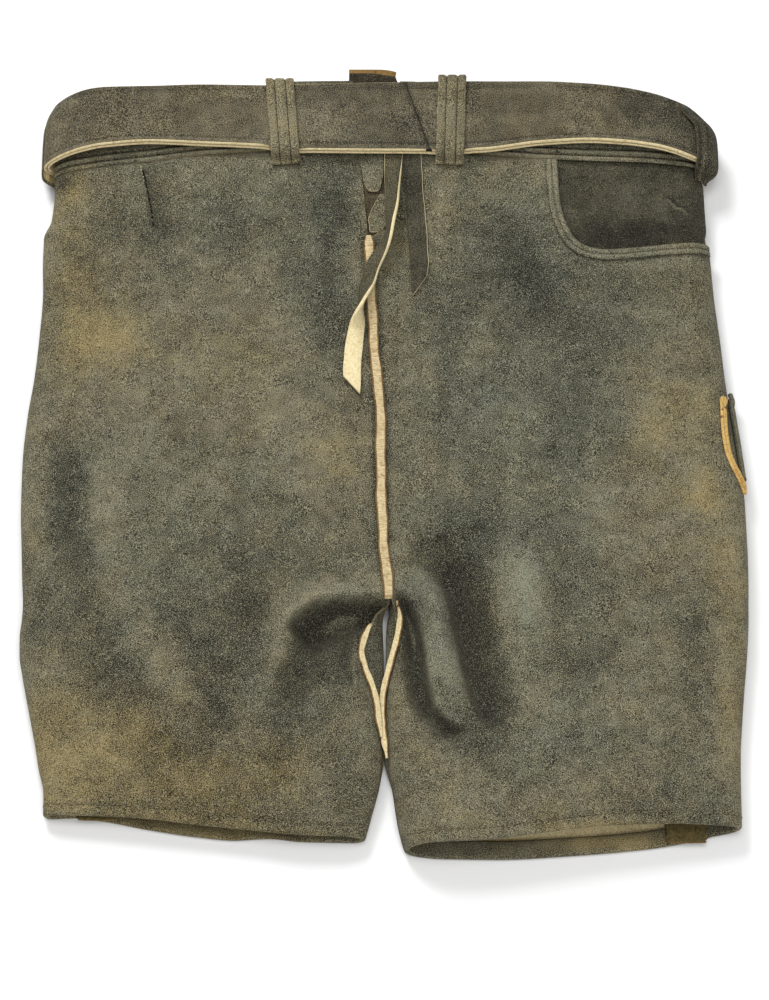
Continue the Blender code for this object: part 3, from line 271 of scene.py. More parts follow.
# Soft spots in the suede, x, y, reach along x and y, lightness and warmth (negative for darker and
# cooler): mostly its own stains and tones, with some painted shadows and painted light among them,
# marked where they stand.
STAINS_AND_PAINTED_SHADING = (
    (-222, 150, 26, 60, -0.15, 0.45), (-196, 76, 30, 26, 0.45, 0.85), (-222, 196, 14, 16, 0.12, 0.65),
    (-186, 166, 22, 30, -0.45, 0.05), (-154, 120, 20, 60, -0.3, -0.1), (-176, 18, 22, 20, 0.32, 0.1),
    (-216, 0, 12, 26, -0.1, 0.3), (-212, -46, 14, 34, -0.7, -0.5), (-186, -30, 16, 26, 0.25, -0.1),
    (-110, 66, 34, 36, 0.12, 0.2), (-92, 168, 40, 30, -0.3, -0.2), (-104, 112, 26, 14, 0.22, 0.1),
    (-40, 176, 16, 26, -0.95, -0.85), (-42, 112, 17, 44, -0.95, -0.6), (-66, 128, 12, 30, -0.4, -0.3),
    (-72, 8, 24, 24, 0.45, 0.15), (-40, -6, 18, 26, 0.55, 0.55), (-18, 10, 12, 50, 0.1, 0.35),
    (-112, -36, 30, 24, 0.42, -0.05), (-76, -96, 26, 14, -0.6, -0.25), (-162, -110, 16, 26, 0.3, 0.0),
    # painted shade in a fold near the crotch: the first spot on this line
    (-112, -138, 22, 24, -0.7, -0.1), (-196, -120, 14, 30, 0.1, 0.25), (-92, -180, 14, 26, -0.35, 0.0),
    (-214, -226, 34, 36, 0.55, 1.0), (-165, -212, 36, 26, 0.6, 0.95), (-150, -240, 40, 20, 0.7, 1.2),
    (-122, -257, 22, 9, -0.55, 0.0), (-80, -238, 34, 24, 0.5, 0.85), (-28, -256, 14, 24, -0.5, 0.1),
    (-214, -180, 22, 26, 0.22, 0.5), (-34, -136, 18, 11, -0.45, 0.0), (-34, -116, 28, 5, 0.45, -0.1),
    (36, -140, 8, 30, 0.35, -0.1), (-46, -152, 10, 12, -0.4, 0.0), (40, 176, 26, 24, 0.1, 0.15),
    (44, 96, 24, 36, -1.05, -0.6), (84, 150, 26, 26, -0.5, -0.8), (104, 118, 30, 26, -0.8, -0.95),
    (128, 74, 36, 30, -0.6, -0.6), (176, 116, 26, 18, -0.55, -0.1), (70, 20, 30, 44, 0.02, -0.6),
    (60, -66, 44, 18, -0.7, -0.85), (30, -30, 14, 40, -0.1, 0.05), (120, -10, 22, 60, -0.55, -0.7),
    (146, 6, 22, 24, -0.55, -0.5), (178, 2, 14, 16, 0.35, 0.2), (188, 30, 16, 28, 0.26, 0.25),
    (214, 20, 14, 50, 0.35, 0.4), (213, -44, 17, 18, 0.55, 0.6), (176, -46, 14, 18, 0.25, 0.1),
    (92, -110, 13, 44, 0.3, -0.75), (58, -206, 22, 18, -0.55, -0.4), (150, -60, 30, 22, 0.08, -0.4),
    (28, -118, 18, 24, -0.45, -1.0), (40, -160, 14, 34, -0.25, -0.8), (132, -140, 20, 50, 0.08, -0.5),
    (170, -150, 22, 44, 0.22, -0.2), (206, -140, 14, 46, 0.0, -0.25), (118, -222, 26, 16, -0.6, -0.6),
    (180, -254, 40, 20, -0.5, -0.1), (150, -279, 44, 6, 0.3, 0.85), (92, -268, 26, 12, 0.05, 0.25),
    (40, -262, 12, 24, 0.2, 0.15), (222, -90, 14, 40, 0.25, 0.6), (228, -190, 12, 60, 0.4, 0.55),
    (222, 120, 12, 30, -0.35, 0.1), (14, -150, 8, 24, -0.4, 0.2), (62, -88, 18, 16, -0.6, -0.7),
    (-98, -166, 16, 22, -0.7, 0.0), (-58, -58, 16, 12, -0.35, -0.2), (-206, -206, 16, 12, -0.45, 0.2),
    # painted shadow above the belt's top edge, left of the slit: the last spot on this line
    (-31, 243, 24, 12, 0.25, 0.1), (-188, 72, 16, 16, 0.2, 0.2), (-14, 283, 62, 5.5, -1.4, 0.3),
    # painted shade round the right side loop: the first two spots on this line; painted light on the
    # knife pocket's flap, which faces away from the light: the last spot
    (214, 254, 20, 18, -1.1, -0.1), (226, 226, 10, 18, -0.5, 0.0), (238, 20, 7, 22, 0.45, 0.0),
    # painted shadow of the long lace on the panel to its right: the first spot on this line
    (13.5, 178, 3.6, 34, -0.9, 0.0), (42, 180, 7, 32, 0.45, 0.15), (-34, 180, 12, 20, -0.4, -0.2),
    (-34, 100, 14, 26, -0.35, -0.1), (-62, -36, 16, 14, 0.55, 0.1), (-34, -40, 12, 26, -0.4, 0.0),
    (38, -136, 10, 24, -0.3, 0.0), (-214, -24, 14, 30, -0.3, -0.1), (212, 178, 14, 18, -0.4, 0.0),
    (182, 168, 20, 14, -0.35, 0.0), (-180, -246, 26, 12, -0.45, 0.2), (-36, 62, 14, 20, 0.15, 0.1),
    (-130, -276, 60, 7, 0.0, 1.2), (-60, -284, 40, 7, 0.0, 1.0), (-170, -262, 60, 20, 0.05, 0.6),
    (-100, -262, 40, 20, 0.0, 0.5), (236, -90, 8, 24, 0.5, 0.3), (236, -262, 8, 16, 0.5, 0.5),
    (-215, -90, 12, 22, -0.45, 0.0), (-94, -124, 16, 16, -0.55, 0.1), (-62, -158, 15, 15, 0.8, 0.1),
    # painted light in the shaded inside of the right front hem: the last spot on this line
    (-40, -131, 15, 7, 0.45, 0.0), (-228, 203, 7, 8, -1.6, 0.0), (140, -283, 44, 5, 1.2, 0.2),
    (-34, -166, 9, 20, -0.3, 0.0), (78, -150, 12, 34, 0.2, 0.0), (-33, -170, 14, 26, -0.4, 0.0),
    (-63, -90, 16, 14, -0.35, -0.1), (-33, 80, 15, 16, -0.65, -0.1), (2, 62, 13, 30, -0.4, 0.0),
    (-33, -22, 16, 18, 0.45, 0.15), (88, 80, 16, 16, -0.4, -0.1), (92, -112, 18, 24, 0.55, -0.1),
    # painted shade along the lower edge of the hip pocket's mouth: the first two spots on this line
    (175, 148, 20, 12, -0.5, 0.0), (149, 148, 16, 12, -0.45, 0.0), (58, 114, 18, 16, -0.35, -0.1),
    (212, -24, 14, 30, 0.3, 0.1), (-63, -228, 16, 14, 0.25, 0.5), (-214, 110, 14, 60, 0.05, 0.3),
    (-4, -134, 10, 10, -0.4, 0.0), (62, -118, 15, 34, -0.55, 0.0), (44, -60, 14, 18, -0.25, -0.1),
    # painted shadows next to the long lace: (12, 138) at the end of this line and (-27, 60) at the
    # start of the next
    (59, -227, 16, 12, -0.6, 0.0), (-92, 0, 14, 16, -0.3, 0.0), (12.0, 138, 4, 12, -0.5, 0.0),
    (-27, 60, 5, 22, -0.5, 0.0), (-10, 204, 8, 14, 0.5, 0.0), (-4, 170, 8, 12, 0.35, 0.1),
    # painted shade on the belt next to the right side loop: the first spot on this line
    (190, 254, 30, 18, -1.1, -0.3), (150, 266, 40, 8, -0.45, 0.0), (176, 232, 22, 10, 0.15, 0.1),
    (-40, 262, 30, 8, -0.25, 0.0), (-110, 244, 26, 14, -0.2, 0.0), (-200, 246, 24, 16, -0.2, 0.2),
    (-150, 236, 26, 8, 0.2, 0.1), (60, 258, 24, 10, -0.15, 0.0), (110, 238, 24, 10, 0.1, 0.2),
    # painted shade on the hip pocket's facing just above the mouth's lower edge: the first spot on
    # this line
    (176, 158, 44, 9, -0.75, 0.0), (160, 192, 26, 14, 0.25, 0.1), (206, 186, 14, 18, 0.15, 0.0),
)


def hermite(at, xs, ys, slopes):
    """Values on a curve with the given slope at each of its points."""
    i = np.clip(np.searchsorted(xs, at) - 1, 0, len(xs) - 2)
    span = xs[i + 1] - xs[i]
    t = (at - xs[i]) / span
    start = (1 + 2 * t) * (1 - t) ** 2 * ys[i] + t * (1 - t) ** 2 * span * slopes[i]
    end = t * t * (3 - 2 * t) * ys[i + 1] - t * t * (1 - t) * span * slopes[i + 1]
    return start + end


def smooth(at, points):
    """The value at each place, on a curve through a table of (place, value) that never
    swings past the table's own values."""
    table = np.array(sorted(points), float)
    xs, ys = table[:, 0], table[:, 1]
    rise = np.diff(ys) / np.diff(xs)
    before, after = rise[:-1], rise[1:]
    level = before * after <= 0
    total = np.where(level, 1.0, before + after)
    inner = np.where(level, 0.0, 2 * before * after / total)
    slopes = np.concatenate([rise[:1], inner, rise[-1:]])
    return hermite(np.clip(np.asarray(at, float), xs[0], xs[-1]), xs, ys, slopes)


def ease(at, low, high):
    """0 below low and 1 above high, smooth between."""
    t = np.clip((np.asarray(at, float) - low) / (high - low), 0, 1)
    return t * t * (3 - 2 * t)


def hump(at, middle, width):
    """1 at the middle, and close to 0 from two widths away."""
    return np.exp(-(((at - middle) / width) ** 2))


def row_at(table, columns, y):
    """A table's columns at each y, by name."""
    return {
        name: smooth(y, [(row[0], row[i]) for row in table])
        for i, name in enumerate(columns)
        if i
    }


def panel_row(side, y):
    """A back panel's cross-section at each y, by column name."""
    return row_at(SECTIONS[side], SECTION_COLUMNS, y)


def unit(vectors):
    """The same directions with a length of 1."""
    return vectors / np.linalg.norm(vectors, axis=-1, keepdims=True)


def distance_along(path):
    """How far each point of a path is from its start."""
    steps = np.linalg.norm(np.diff(path, axis=0), axis=1)
    return np.concatenate([[0], np.cumsum(steps)])


def from_line(x, y, line):
    """How far points are from a line of straight stretches, positive on its right, and how
    far along it they are, 0 to 1."""
    best, along, side = np.full(np.shape(x), 1e9), np.zeros(np.shape(x)), np.ones(np.shape(x))
    count = len(line) - 1
    for i in range(count):
        (ax, ay), (bx, by) = line[i], line[i + 1]
        dx, dy = bx - ax, by - ay
        t = np.clip(((x - ax) * dx + (y - ay) * dy) / (dx * dx + dy * dy), 0, 1)
        far = np.hypot(x - ax - t * dx, y - ay - t * dy)
        nearer = far < best
        best = np.where(nearer, far, best)
        along = np.where(nearer, (i + t) / count, along)
        side = np.where(nearer, np.sign((x - ax) * dy - (y - ay) * dx), side)
    return best * side, along


def ripple(x, y, size, seed):
    """Smooth noise from -1 to 1 with bumps about size wide, the same on every run."""
    u, v = x / size + 17.3 * seed, y / size - 9.1 * seed
    i, j = np.floor(u), np.floor(v)
    u, v = ease(u - i, 0, 1), ease(v - j, 0, 1)

    def corner(a, b):
        wave = np.sin(a * 12.9898 + b * 78.233 + seed * 3.71) * 43758.5453
        return 2 * (wave - np.floor(wave)) - 1

    low = corner(i, j) * (1 - u) + corner(i + 1, j) * u
    high = corner(i, j + 1) * (1 - u) + corner(i + 1, j + 1) * u
    return low * (1 - v) + high * v


def creases_at(x, y):
    """How far the folds, creases and lips lift the back's surface at a point."""
    lift = np.zeros(np.shape(x))
    for height, width, line in FOLDS + CREASES:
        far, along = from_line(x, y, line)
        ends = ease(along, -0.25, 0.25) * (1 - ease(along, 0.7, 1.0))
        lift = lift + height * ends * hump(far, 0, width)
    for depth, lip, reach, line in LIPS:
        far, along = from_line(x, y, line)
        ends = ease(along, 0.0, 0.12) * (1 - ease(along, 0.86, 1.0))
        below = 1 / (1 + np.exp(np.clip(far / (lip / 2), -40, 40)))
        level = hump(np.minimum(far, 0), 0, reach)
        edge = 0.22 * depth * hump(far, 2.5, 3.5)  # the lip stands up a little
        lift = lift + ends * (edge - depth * below * level)
    return lift


def folds_at(x, y):
    """How far the back's surface is lifted, with its ripples."""
    calm = 1 - 0.75 * ease(y, 196, 210)
    return creases_at(x, y) + calm * (
        1.0 * ripple(x, y, 48, 1) + 0.5 * ripple(x, y, 21, 2) + 0.15 * ripple(x, y, 9, 3)
    )


def floor_at(y):
    """The height of the underside: on the table, and over the belt at the waist."""
    return WAIST_FLOOR * ease(y, 146, 196)


def shifted_y(side, x, y, below=0.0):
    """The real y of a nominal row at x. below is 0 on the back and 1 on the underside."""
    back = smooth(x, BACK_HEM[side])
    front = smooth(x, FRONT_HEM[side])
    hem = back + (front - back) * below
    rise = ease(y, 150, WAIST_SEAM_Y) * (1 - 0.6 * ease(y, WAIST_SEAM_Y, 270))
    return y + smooth(x, WAIST_SEAM) * rise + (hem - HEM_Y) * (1 - ease(y, HEM_Y, -190))


def back_height(side, x, y, row):
    """The height of a back panel's outer surface where it faces up."""
    inward = (x - row["edge_x"]) * side
    shoulder = (row["out_x"] - row["edge_x"]) * side - row["roll"]
    climb = np.clip(inward / row["rise"], 0, 1)
    sharp = np.sqrt(1 - (1 - climb) ** 2)
    soft = ease(climb, 0, 1)
    leg = 1 - ease(y, CROTCH_Y - 18, CROTCH_Y + 2)
    z = row["edge_z"] + (row["crown"] - row["edge_z"]) * (sharp * leg + soft * (1 - leg))
    u = inward / shoulder
    z = z - (row["crown"] - row["side_z"]) * (np.clip(u - 0.45, 0, 0.55) / 0.55) ** 2
    return z + folds_at(x, y) * (1 - ease(u, 0.8, 1.0)) * ease(climb + (1 - leg), 0, 0.35)


def outer_z(side, x, y):
    """The height of the back's outer surface at points seen from above."""
    x, y = np.asarray(x, float), np.asarray(y, float)
    row = panel_row(side, y)
    shoulder = row["out_x"] - side * row["roll"]
    past = np.clip((x - shoulder) * side / row["roll"], 0, 1)
    top = back_height(side, np.where(past > 0, shoulder, x), y, row)
    floor = floor_at(y)
    around = (top + floor) / 2 + (top - floor) / 2 * np.sqrt(1 - past * past)
    return np.where(past > 0, around, top)


def back_grid(side, rows_y, columns, start=None, turn=1.0, crowd=1.5):
    """Points over a back panel, row by row, from its inner edge round to the side seam."""
    across, round_side, under = columns
    y = np.asarray(rows_y, float)[:, None]
    row = panel_row(side, y)
    shoulder = row["out_x"] - side * row["roll"]
    floor = floor_at(y)
    edge = row["edge_x"] + side * GAP / 2 if start is None else start
    t = np.linspace(0, 1, across + 1)[None, :] ** crowd
    x = edge + (shoulder - edge) * t
    real_y = shifted_y(side, x, y)
    top = np.stack([x, real_y, back_height(side, x, real_y, row)], axis=2)
    high = top[:, -1:, 2]
    share = turn * np.arange(1, round_side + 1)[None, :] / round_side
    angle = math.pi / 2 - math.pi * share
    x = shoulder + side * row["roll"] * np.cos(angle)
    z = (high + floor) / 2 + (high - floor) / 2 * np.sin(angle)
    side_part = np.stack([x, shifted_y(side, x, y, share), z], axis=2)
    parts = [top, side_part]
    if under:
        seam = row["out_x"] - side * SIDE_WRAP
        t = np.arange(1, under + 1)[None, :] / under
        x = shoulder + (seam + side * GAP / 2 - shoulder) * t
        parts.append(np.stack([x, shifted_y(side, x, y, 1.0), floor + 0 * x], axis=2))
    return np.concatenate(parts, axis=1)


def bezier(t, a, b, c, d):
    """A curve from a to d that leaves towards b and arrives from c."""
    s = 1 - t
    return s ** 3 * a + 3 * s ** 2 * t * b + 3 * s * t * t * c + t ** 3 * d


def front_grid(side, rows_y, columns):
    """Points over a front panel, from the side seam to its inner edge."""
    under, inner = columns
    y = np.asarray(rows_y, float)[:, None]
    row = panel_row(side, y)
    edge = row_at(FRONT_EDGES[side], FRONT_COLUMNS, y)
    floor = floor_at(y)
    seam = row["out_x"] - side * (SIDE_WRAP + GAP / 2)
    t = np.arange(under)[None, :] / under
    x = seam + (edge["foot_x"] - seam) * t
    flat = np.stack([x, shifted_y(side, x, y, 1.0), floor + 0 * x], axis=2)
    height = edge["edge_z"]
    clear = GAP * ease(height, 0, 4) + CROTCH_CLEAR * ease(height, 12, 20)
    t = np.linspace(0, 1, inner + 1)[None, :]
    x = bezier(t, edge["foot_x"], edge["belly_x"], edge["belly_x"], edge["edge_x"])
    z = bezier(t, floor, floor, floor + height * 0.55, floor + height - clear)
    return np.concatenate([flat, np.stack([x, shifted_y(side, x, y, 1.0), z], axis=2)], axis=1)


# Meshes.

UP = (0.0, 0.0, 1.0)
FINISHES = {}  # the materials by name, which make_finishes fills


def add_mesh(name, points, faces, slots, indices=None):
    """A smooth mesh object that rides on the part, from points in millimetres."""
    mesh = bpy.data.meshes.new(name)
    mesh.from_pydata((np.asarray(points, float) * MM).tolist(), [], faces)
    for slot in slots:
        mesh.materials.append(FINISHES[slot])
    if indices is not None:
        mesh.polygons.foreach_set("material_index", np.asarray(indices, np.int32))
    mesh.shade_smooth()
    piece = bpy.data.objects.new(name, mesh)
    bpy.context.scene.collection.objects.link(piece)
    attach(piece, "root")
    return piece


def grid_faces(rows, width, flip=False, ring=False):
    """The faces of a grid of points, row after row."""
    last = width if ring else width - 1
    j, i = np.meshgrid(np.arange(rows - 1), np.arange(last), indexing="ij")
    a, b = j * width + i, j * width + (i + 1) % width
    faces = np.stack([a, b, b + width, a + width], axis=-1).reshape(-1, 4)
    return faces[:, ::-1] if flip else faces


def grid_normals(grid, flip):
    """The unit normal at each point of a grid, out of the garment."""
    normals = np.cross(np.gradient(grid, axis=1), np.gradient(grid, axis=0))
    normals /= np.linalg.norm(normals, axis=2, keepdims=True) + 1e-12
    return -normals if flip else normals


def stand_for(piece, slot, *nodes, flat=None, rests_on=()):
    """Hides the CAD nodes that the piece stands for. flat, the cut of a sheet in millimetres, is not
    used.
    """
    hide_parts(*nodes)


# painted shade and highlight: how a surface's depth and height become its colour
SHADE_SPAN = 18.0  # the millimetres of depth and height that the stored shade spans
HEIGHT_SHARE = 0.4  # how much of a height counts, against all of a depth


def paint(piece, x, y, lift=0.0):
    """Stores how light and how warm the suede is at each point, with the painted shade and light among
    its stains, and how far it stands out, as a colour: folds and grooves are painted darker and
    heights painted lighter."""
    light, warm = np.zeros(len(x)), np.zeros(len(x))
    for sx, sy, reach_x, reach_y, lightness, warmth in STAINS_AND_PAINTED_SHADING:
        spread = np.exp(-(((x - sx) / reach_x) ** 2) - ((y - sy) / reach_y) ** 2)
        light += lightness * spread
        warm += warmth * spread
    values = np.ones((len(x), 4), np.float32)
    values[:, 0] = 0.5 + 0.5 * np.clip(light, -1, 1)
    values[:, 1] = 0.5 + 0.5 * np.clip(warm, -1, 1)
    shade = np.where(lift > 0, HEIGHT_SHARE * lift, lift) / SHADE_SPAN
    values[:, 2] = 0.5 + np.clip(shade, -0.5, 0.5)
    layer = piece.data.color_attributes.new("patina_and_painted_shading", "FLOAT_COLOR", "POINT")
    layer.data.foreach_set("color", values.ravel())


def wall(name, grid, slots, thickness, flip=False, offset=-1.0, ring=False, keep=None, lift=0.0):
    """A sheet with a face, a flesh side and a cut edge: the slots in that order."""
    rows, width = grid.shape[:2]
    faces = grid_faces(rows, width, flip, ring)
    points = grid.reshape(-1, 3)
    lift = np.broadcast_to(lift, (rows, width)).ravel()
    if keep is not None:
        faces = faces[keep]
        used, faces = np.unique(faces, return_inverse=True)
        points, faces, lift = points[used], faces.reshape(-1, 4), lift[used]
    piece = add_mesh(name, points, faces.tolist(), slots)
    # the stains, with painted shade and light among them, and lift as painted shade and highlight
    paint(piece, points[:, 0], points[:, 1], lift)
    solid = piece.modifiers.new("Wall", "SOLIDIFY")
    solid.thickness = thickness * MM
    solid.offset = offset
    solid.use_even_offset = False
    solid.material_offset = 1
    solid.material_offset_rim = 2
    return piece


def soften(piece, width, segments=2, degrees=50):
    """Rounds a piece's cut edges."""
    bevel = piece.modifiers.new("Edges", "BEVEL")
    bevel.width = width * MM
    bevel.segments = segments
    bevel.limit_method = "ANGLE"
    bevel.angle_limit = math.radians(degrees)
    bevel.harden_normals = False


def along_curve(points, step):
    """A smooth curve through points in 3-D, in equal steps."""
    points = np.array(points, float)
    far = distance_along(points[:, :3])
    count = max(2, int(round(far[-1] / step)) + 1)
    at = np.linspace(0, far[-1], count)
    return np.stack([catmull(at, far, points[:, k]) for k in range(points.shape[1])], axis=1)


def catmull(at, xs, ys):
    """Values on a smooth curve through a few points."""
    return hermite(at, xs, ys, np.gradient(ys, xs))


def sweep(name, path, normals, section, slots, sides, widths=1.0, heights=1.0, shear=0.0):
    """A closed strip along a path. section is a ring of (across, up), and sides gives the
    slot of each of its stretches. shear slants its crossings, forward on one edge."""
    path = np.array(path, float)
    normals = np.broadcast_to(np.asarray(normals, float), path.shape)
    forward = unit(np.gradient(path, axis=0))
    across = unit(np.cross(forward, normals))
    normals = np.cross(across, forward)
    count, width = len(path), len(section)
    ring = np.array(section, float)
    widths, heights, shear = (
        np.broadcast_to(np.asarray(value, float), (count,))[:, None, None]
        for value in (widths, heights, shear)
    )
    points = (
        path[:, None, :]
        + across[:, None, :] * ring[None, :, :1] * widths
        + normals[:, None, :] * ring[None, :, 1:] * heights
        + forward[:, None, :] * ring[None, :, :1] * shear
    )
    faces = grid_faces(count, width, ring=True).tolist()
    indices = [sides[k % width] for k in range(len(faces))]
    faces.append(list(range(width))[::-1])
    faces.append([(count - 1) * width + k for k in range(width)])
    indices += [sides[0], sides[0]]
    piece = add_mesh(name, points.reshape(-1, 3), faces, slots, indices)
    flat = points.reshape(-1, 3)
    paint(piece, flat[:, 0], flat[:, 1])
    return piece


def flat_section(half, height, edge=0.35, grooves=(), depth=0.25, steps=8, broad=0.4):
    """A flat strip's ring of points, its across as a share of the width, and the slot of each
    stretch: 0 the face, 1 the flesh side, 2 the rounded edges, 3 the grooves in the face."""
    place = set(np.linspace(-half + edge, half - edge, steps).round(3).tolist())
    for g in grooves:
        place |= {round(g + d, 3) for d in (-0.7, -0.3, 0.0, 0.3, 0.7)}
    face = []
    for a in sorted(place):
        dip = sum(depth * math.exp(-(((a - g) / broad) ** 2)) for g in grooves)
        face.append((a, height - dip))
    middles = [(p[0] + q[0]) / 2 for p, q in zip(face, face[1:], strict=False)]
    top = [3 if any(abs(a - g) < 0.35 for g in grooves) else 0 for a in middles]
    ring = [(-half, edge), (-half, height - edge)] + face + [(half, height - edge), (half, edge)]
    back = [(half - edge, 0.0), (0.0, 0.0), (-half + edge, 0.0)]
    sides = [2, 2] + top + [2, 2, 2] + [1, 1] + [2]
    return [(a / (2 * half), up) for a, up in ring + back], sides


def stitches(name, runs, slot, length=2.0, thick=0.42, gap=1.4, slant=0.0):
    """Rows of stitches as one piece. Each run is a path of points and which way it faces."""
    points, faces = [], []
    corners, shares = 6, (-1, -0.6, 0, 0.6, 1)  # round a stitch, and places along it
    angles = [2 * math.pi * k / corners for k in range(corners)]
    ring = [(math.cos(angle), math.sin(angle)) for angle in angles]
    for path, normals in runs:
        path = np.array(path, float)
        normals = np.broadcast_to(np.asarray(normals, float), path.shape)
        far = distance_along(path)
        for n, start in enumerate(np.arange(0.4, far[-1] - length, length + gap)):
            jitter = 0.12 * math.sin(n * 2.39) + 0.08 * math.sin(n * 5.1)
            span = np.linspace(start, start + length * (1 + jitter), len(shares))
            line = np.stack([np.interp(span, far, path[:, k]) for k in range(3)], axis=1)
            up = np.array([np.interp(start, far, normals[:, k]) for k in range(3)])
            ahead = unit(line[-1] - line[0])
            across = np.cross(ahead, up)
            turn = slant * (1 if n % 2 else -1)
            for k, share in enumerate(shares):
                rise = 0.5 * thick * (1 - share * share) - 0.25 * thick * share * share
                size = thick / 2 * (1.0 if abs(share) < 1 else 0.45)
                middle = line[k] + up * rise + across * turn * share
                points += [middle + size * (c * across + s * up) for c, s in ring]
            end = len(points) - corners
            base = end - corners * (len(shares) - 1)
            for low in range(base, end, corners):
                for k in range(corners):
                    a, b = low + k, low + (k + 1) % corners
                    faces.append((a, b, b + corners, a + corners))
            faces.append(tuple(range(base, base + corners))[::-1])
            faces.append(tuple(range(end, end + corners)))
    piece = add_mesh(name, points, faces, [slot])
    flat = np.array(points)
    paint(piece, flat[:, 0], flat[:, 1])
    return piece


# Materials.


def colour(red, green, blue):
    """A colour from its values on a screen, 0 to 255."""
    channels = (c / 255 for c in (red, green, blue))
    return tuple(c / 12.92 if c <= 0.04045 else ((c + 0.055) / 1.055) ** 2.4 for c in channels)


class Shader:
    """A material under construction, with short calls for its nodes."""

    def __init__(self, name):
        self.material = bpy.data.materials.new(name)
        self.material.use_nodes = True
        self.tree = self.material.node_tree
        self.surface = self.tree.nodes["Principled BSDF"]
        self.place = self.tree.nodes.new("ShaderNodeTexCoord").outputs["Object"]

    def node(self, kind, inputs=None, **settings):
        made = self.tree.nodes.new(kind)
        for name, value in settings.items():
            setattr(made, name, value)
        for name, value in (inputs or {}).items():
            self.join(value, made.inputs[name])
        return made

    def join(self, value, socket):
        if isinstance(value, bpy.types.NodeSocket):
            self.tree.links.new(value, socket)
        else:
            socket.default_value = value

    def math(self, operation, a, b=0.0, c=0.0):
        made = self.node("ShaderNodeMath", operation=operation)
        for value, socket in zip((a, b, c), made.inputs, strict=True):
            self.join(value, socket)
        return made.outputs[0]

    def noise(self, scale, detail=2.0, rough=0.55, stretch=None, bend=0.0):
        """Noise of so many bumps a metre, from about 0.3 to 0.7."""
        place = self.place
        if stretch is not None:
            place = self.node("ShaderNodeMapping", {"Scale": stretch, "Vector": place}).outputs[0]
        made = self.node("ShaderNodeTexNoise", {
            "Vector": place, "Scale": scale, "Detail": detail, "Roughness": rough, "Distortion": bend,
        })
        return made.outputs["Fac"]

    def ramp(self, value, stops):
        made = self.node("ShaderNodeValToRGB")
        ramp = made.color_ramp
        while len(ramp.elements) < len(stops):
            ramp.elements.new(0.5)
        for element, (position, shade) in zip(ramp.elements, stops, strict=True):
            element.position = position
            element.color = (*shade, 1)
        self.join(value, made.inputs["Fac"])
        return made.outputs["Color"]

    def mix(self, factor, a, b, blend="MIX"):
        a, b = ((*c, 1) if isinstance(c, tuple) else c for c in (a, b))
        inputs = {"Factor": factor, "A": a, "B": b}
        return self.node("ShaderNodeMix", inputs, data_type="RGBA", blend_type=blend).outputs["Result"]

    def patina_and_painted_shading(self):
        """How light and how warm the suede is here, and its painted shade and highlight, from 0 to 1.
        """
        stored = self.node("ShaderNodeAttribute", attribute_name="patina_and_painted_shading")
        parts = self.node("ShaderNodeSeparateColor", {"Color": stored.outputs["Color"]})
        return parts.outputs["Red"], parts.outputs["Green"], parts.outputs["Blue"]

    def sum_of(self, base, *terms):
        """base plus each (value - 0.5) times its weight."""
        total = base
        for value, weight in terms:
            total = self.math("MULTIPLY_ADD", self.math("SUBTRACT", value, 0.5), weight, total)
        return total

    def above(self, value, low, high):
        """0 below low and 1 above high."""
        inputs = {"From Min": low, "From Max": high, "Value": value}
        made = self.node("ShaderNodeMapRange", inputs, interpolation_type="SMOOTHSTEP")
        return made.outputs["Result"]

    def finish(self, shade, rough, height, depth, sheen=0.0, metallic=0.0):
        bump = self.node("ShaderNodeBump", {"Strength": 1.0, "Distance": depth * MM, "Height": height})
        inputs = {
            "Base Color": shade, "Roughness": rough, "Metallic": metallic, "Normal": bump.outputs[0],
            "Specular IOR Level": 0.5 if metallic else 0.22,
        }
        if sheen:
            tint = (*colour(214, 204, 176), 1)
            inputs |= {"Sheen Weight": sheen, "Sheen Roughness": 0.6, "Sheen Tint": tint}
        for name, value in inputs.items():
            self.join(value, self.surface.inputs[name])
        return self.material


def suede(name, dark, middle, pale, cloud=1.0, grain=1.0, depth=0.5, sheen=0.1, warmth=1.0):
    """Napped leather: cloudy tones under fine pale specks of nap, darkened and lightened by the stored
    painted shade and highlight.
    """
    s = Shader(name)
    light, warm, painted_shading = s.patina_and_painted_shading()
    clouds, patches = s.noise(11, 2, 0.5, bend=0.3), s.noise(34, 2, 0.5)
    mottle, nap, fine = s.noise(110, 2, 0.4), s.noise(1900, 0, 0.5), s.noise(3100, 0, 0.5)
    # the stored painted shade and highlight darken and lighten the tone
    tone = s.sum_of(
        0.46, (light, 0.6), (clouds, 0.45 * cloud), (patches, 0.5 * cloud), (mottle, 0.5 * cloud),
        (nap, 2.3 * grain), (fine, 1.8 * grain), (painted_shading, 1.3),
    )
    shade = s.ramp(tone, ((0.1, dark), (0.5, middle), (0.9, pale)))
    tint = s.sum_of(0.5, (warm, 0.75 * warmth), (s.noise(9, 2, 0.5, bend=0.3), 0.5 * warmth),
                    (s.noise(60, 2, 0.5), 0.5 * warmth), (s.noise(1500, 0, 0.5), 0.35))
    cool, plain, tan = (0.85, 0.985, 1.12), (1.0, 1.0, 1.0), (1.20, 1.03, 0.72)
    shade = s.mix(1.0, shade, s.ramp(tint, ((0.1, cool), (0.5, plain), (0.9, tan))), "MULTIPLY")
    worn = s.math("MULTIPLY", s.above(s.noise(1900, 0, 0.6), 0.60, 0.74), 0.6 * grain)
    shade = s.mix(worn, shade, pale)
    height = s.sum_of(0.5, (nap, 0.8), (fine, 0.5), (mottle, 0.9), (s.noise(70, 2, 0.5), 1.6))
    rough = s.sum_of(0.9, (mottle, -0.3))
    return s.finish(shade, rough, height, depth, sheen)


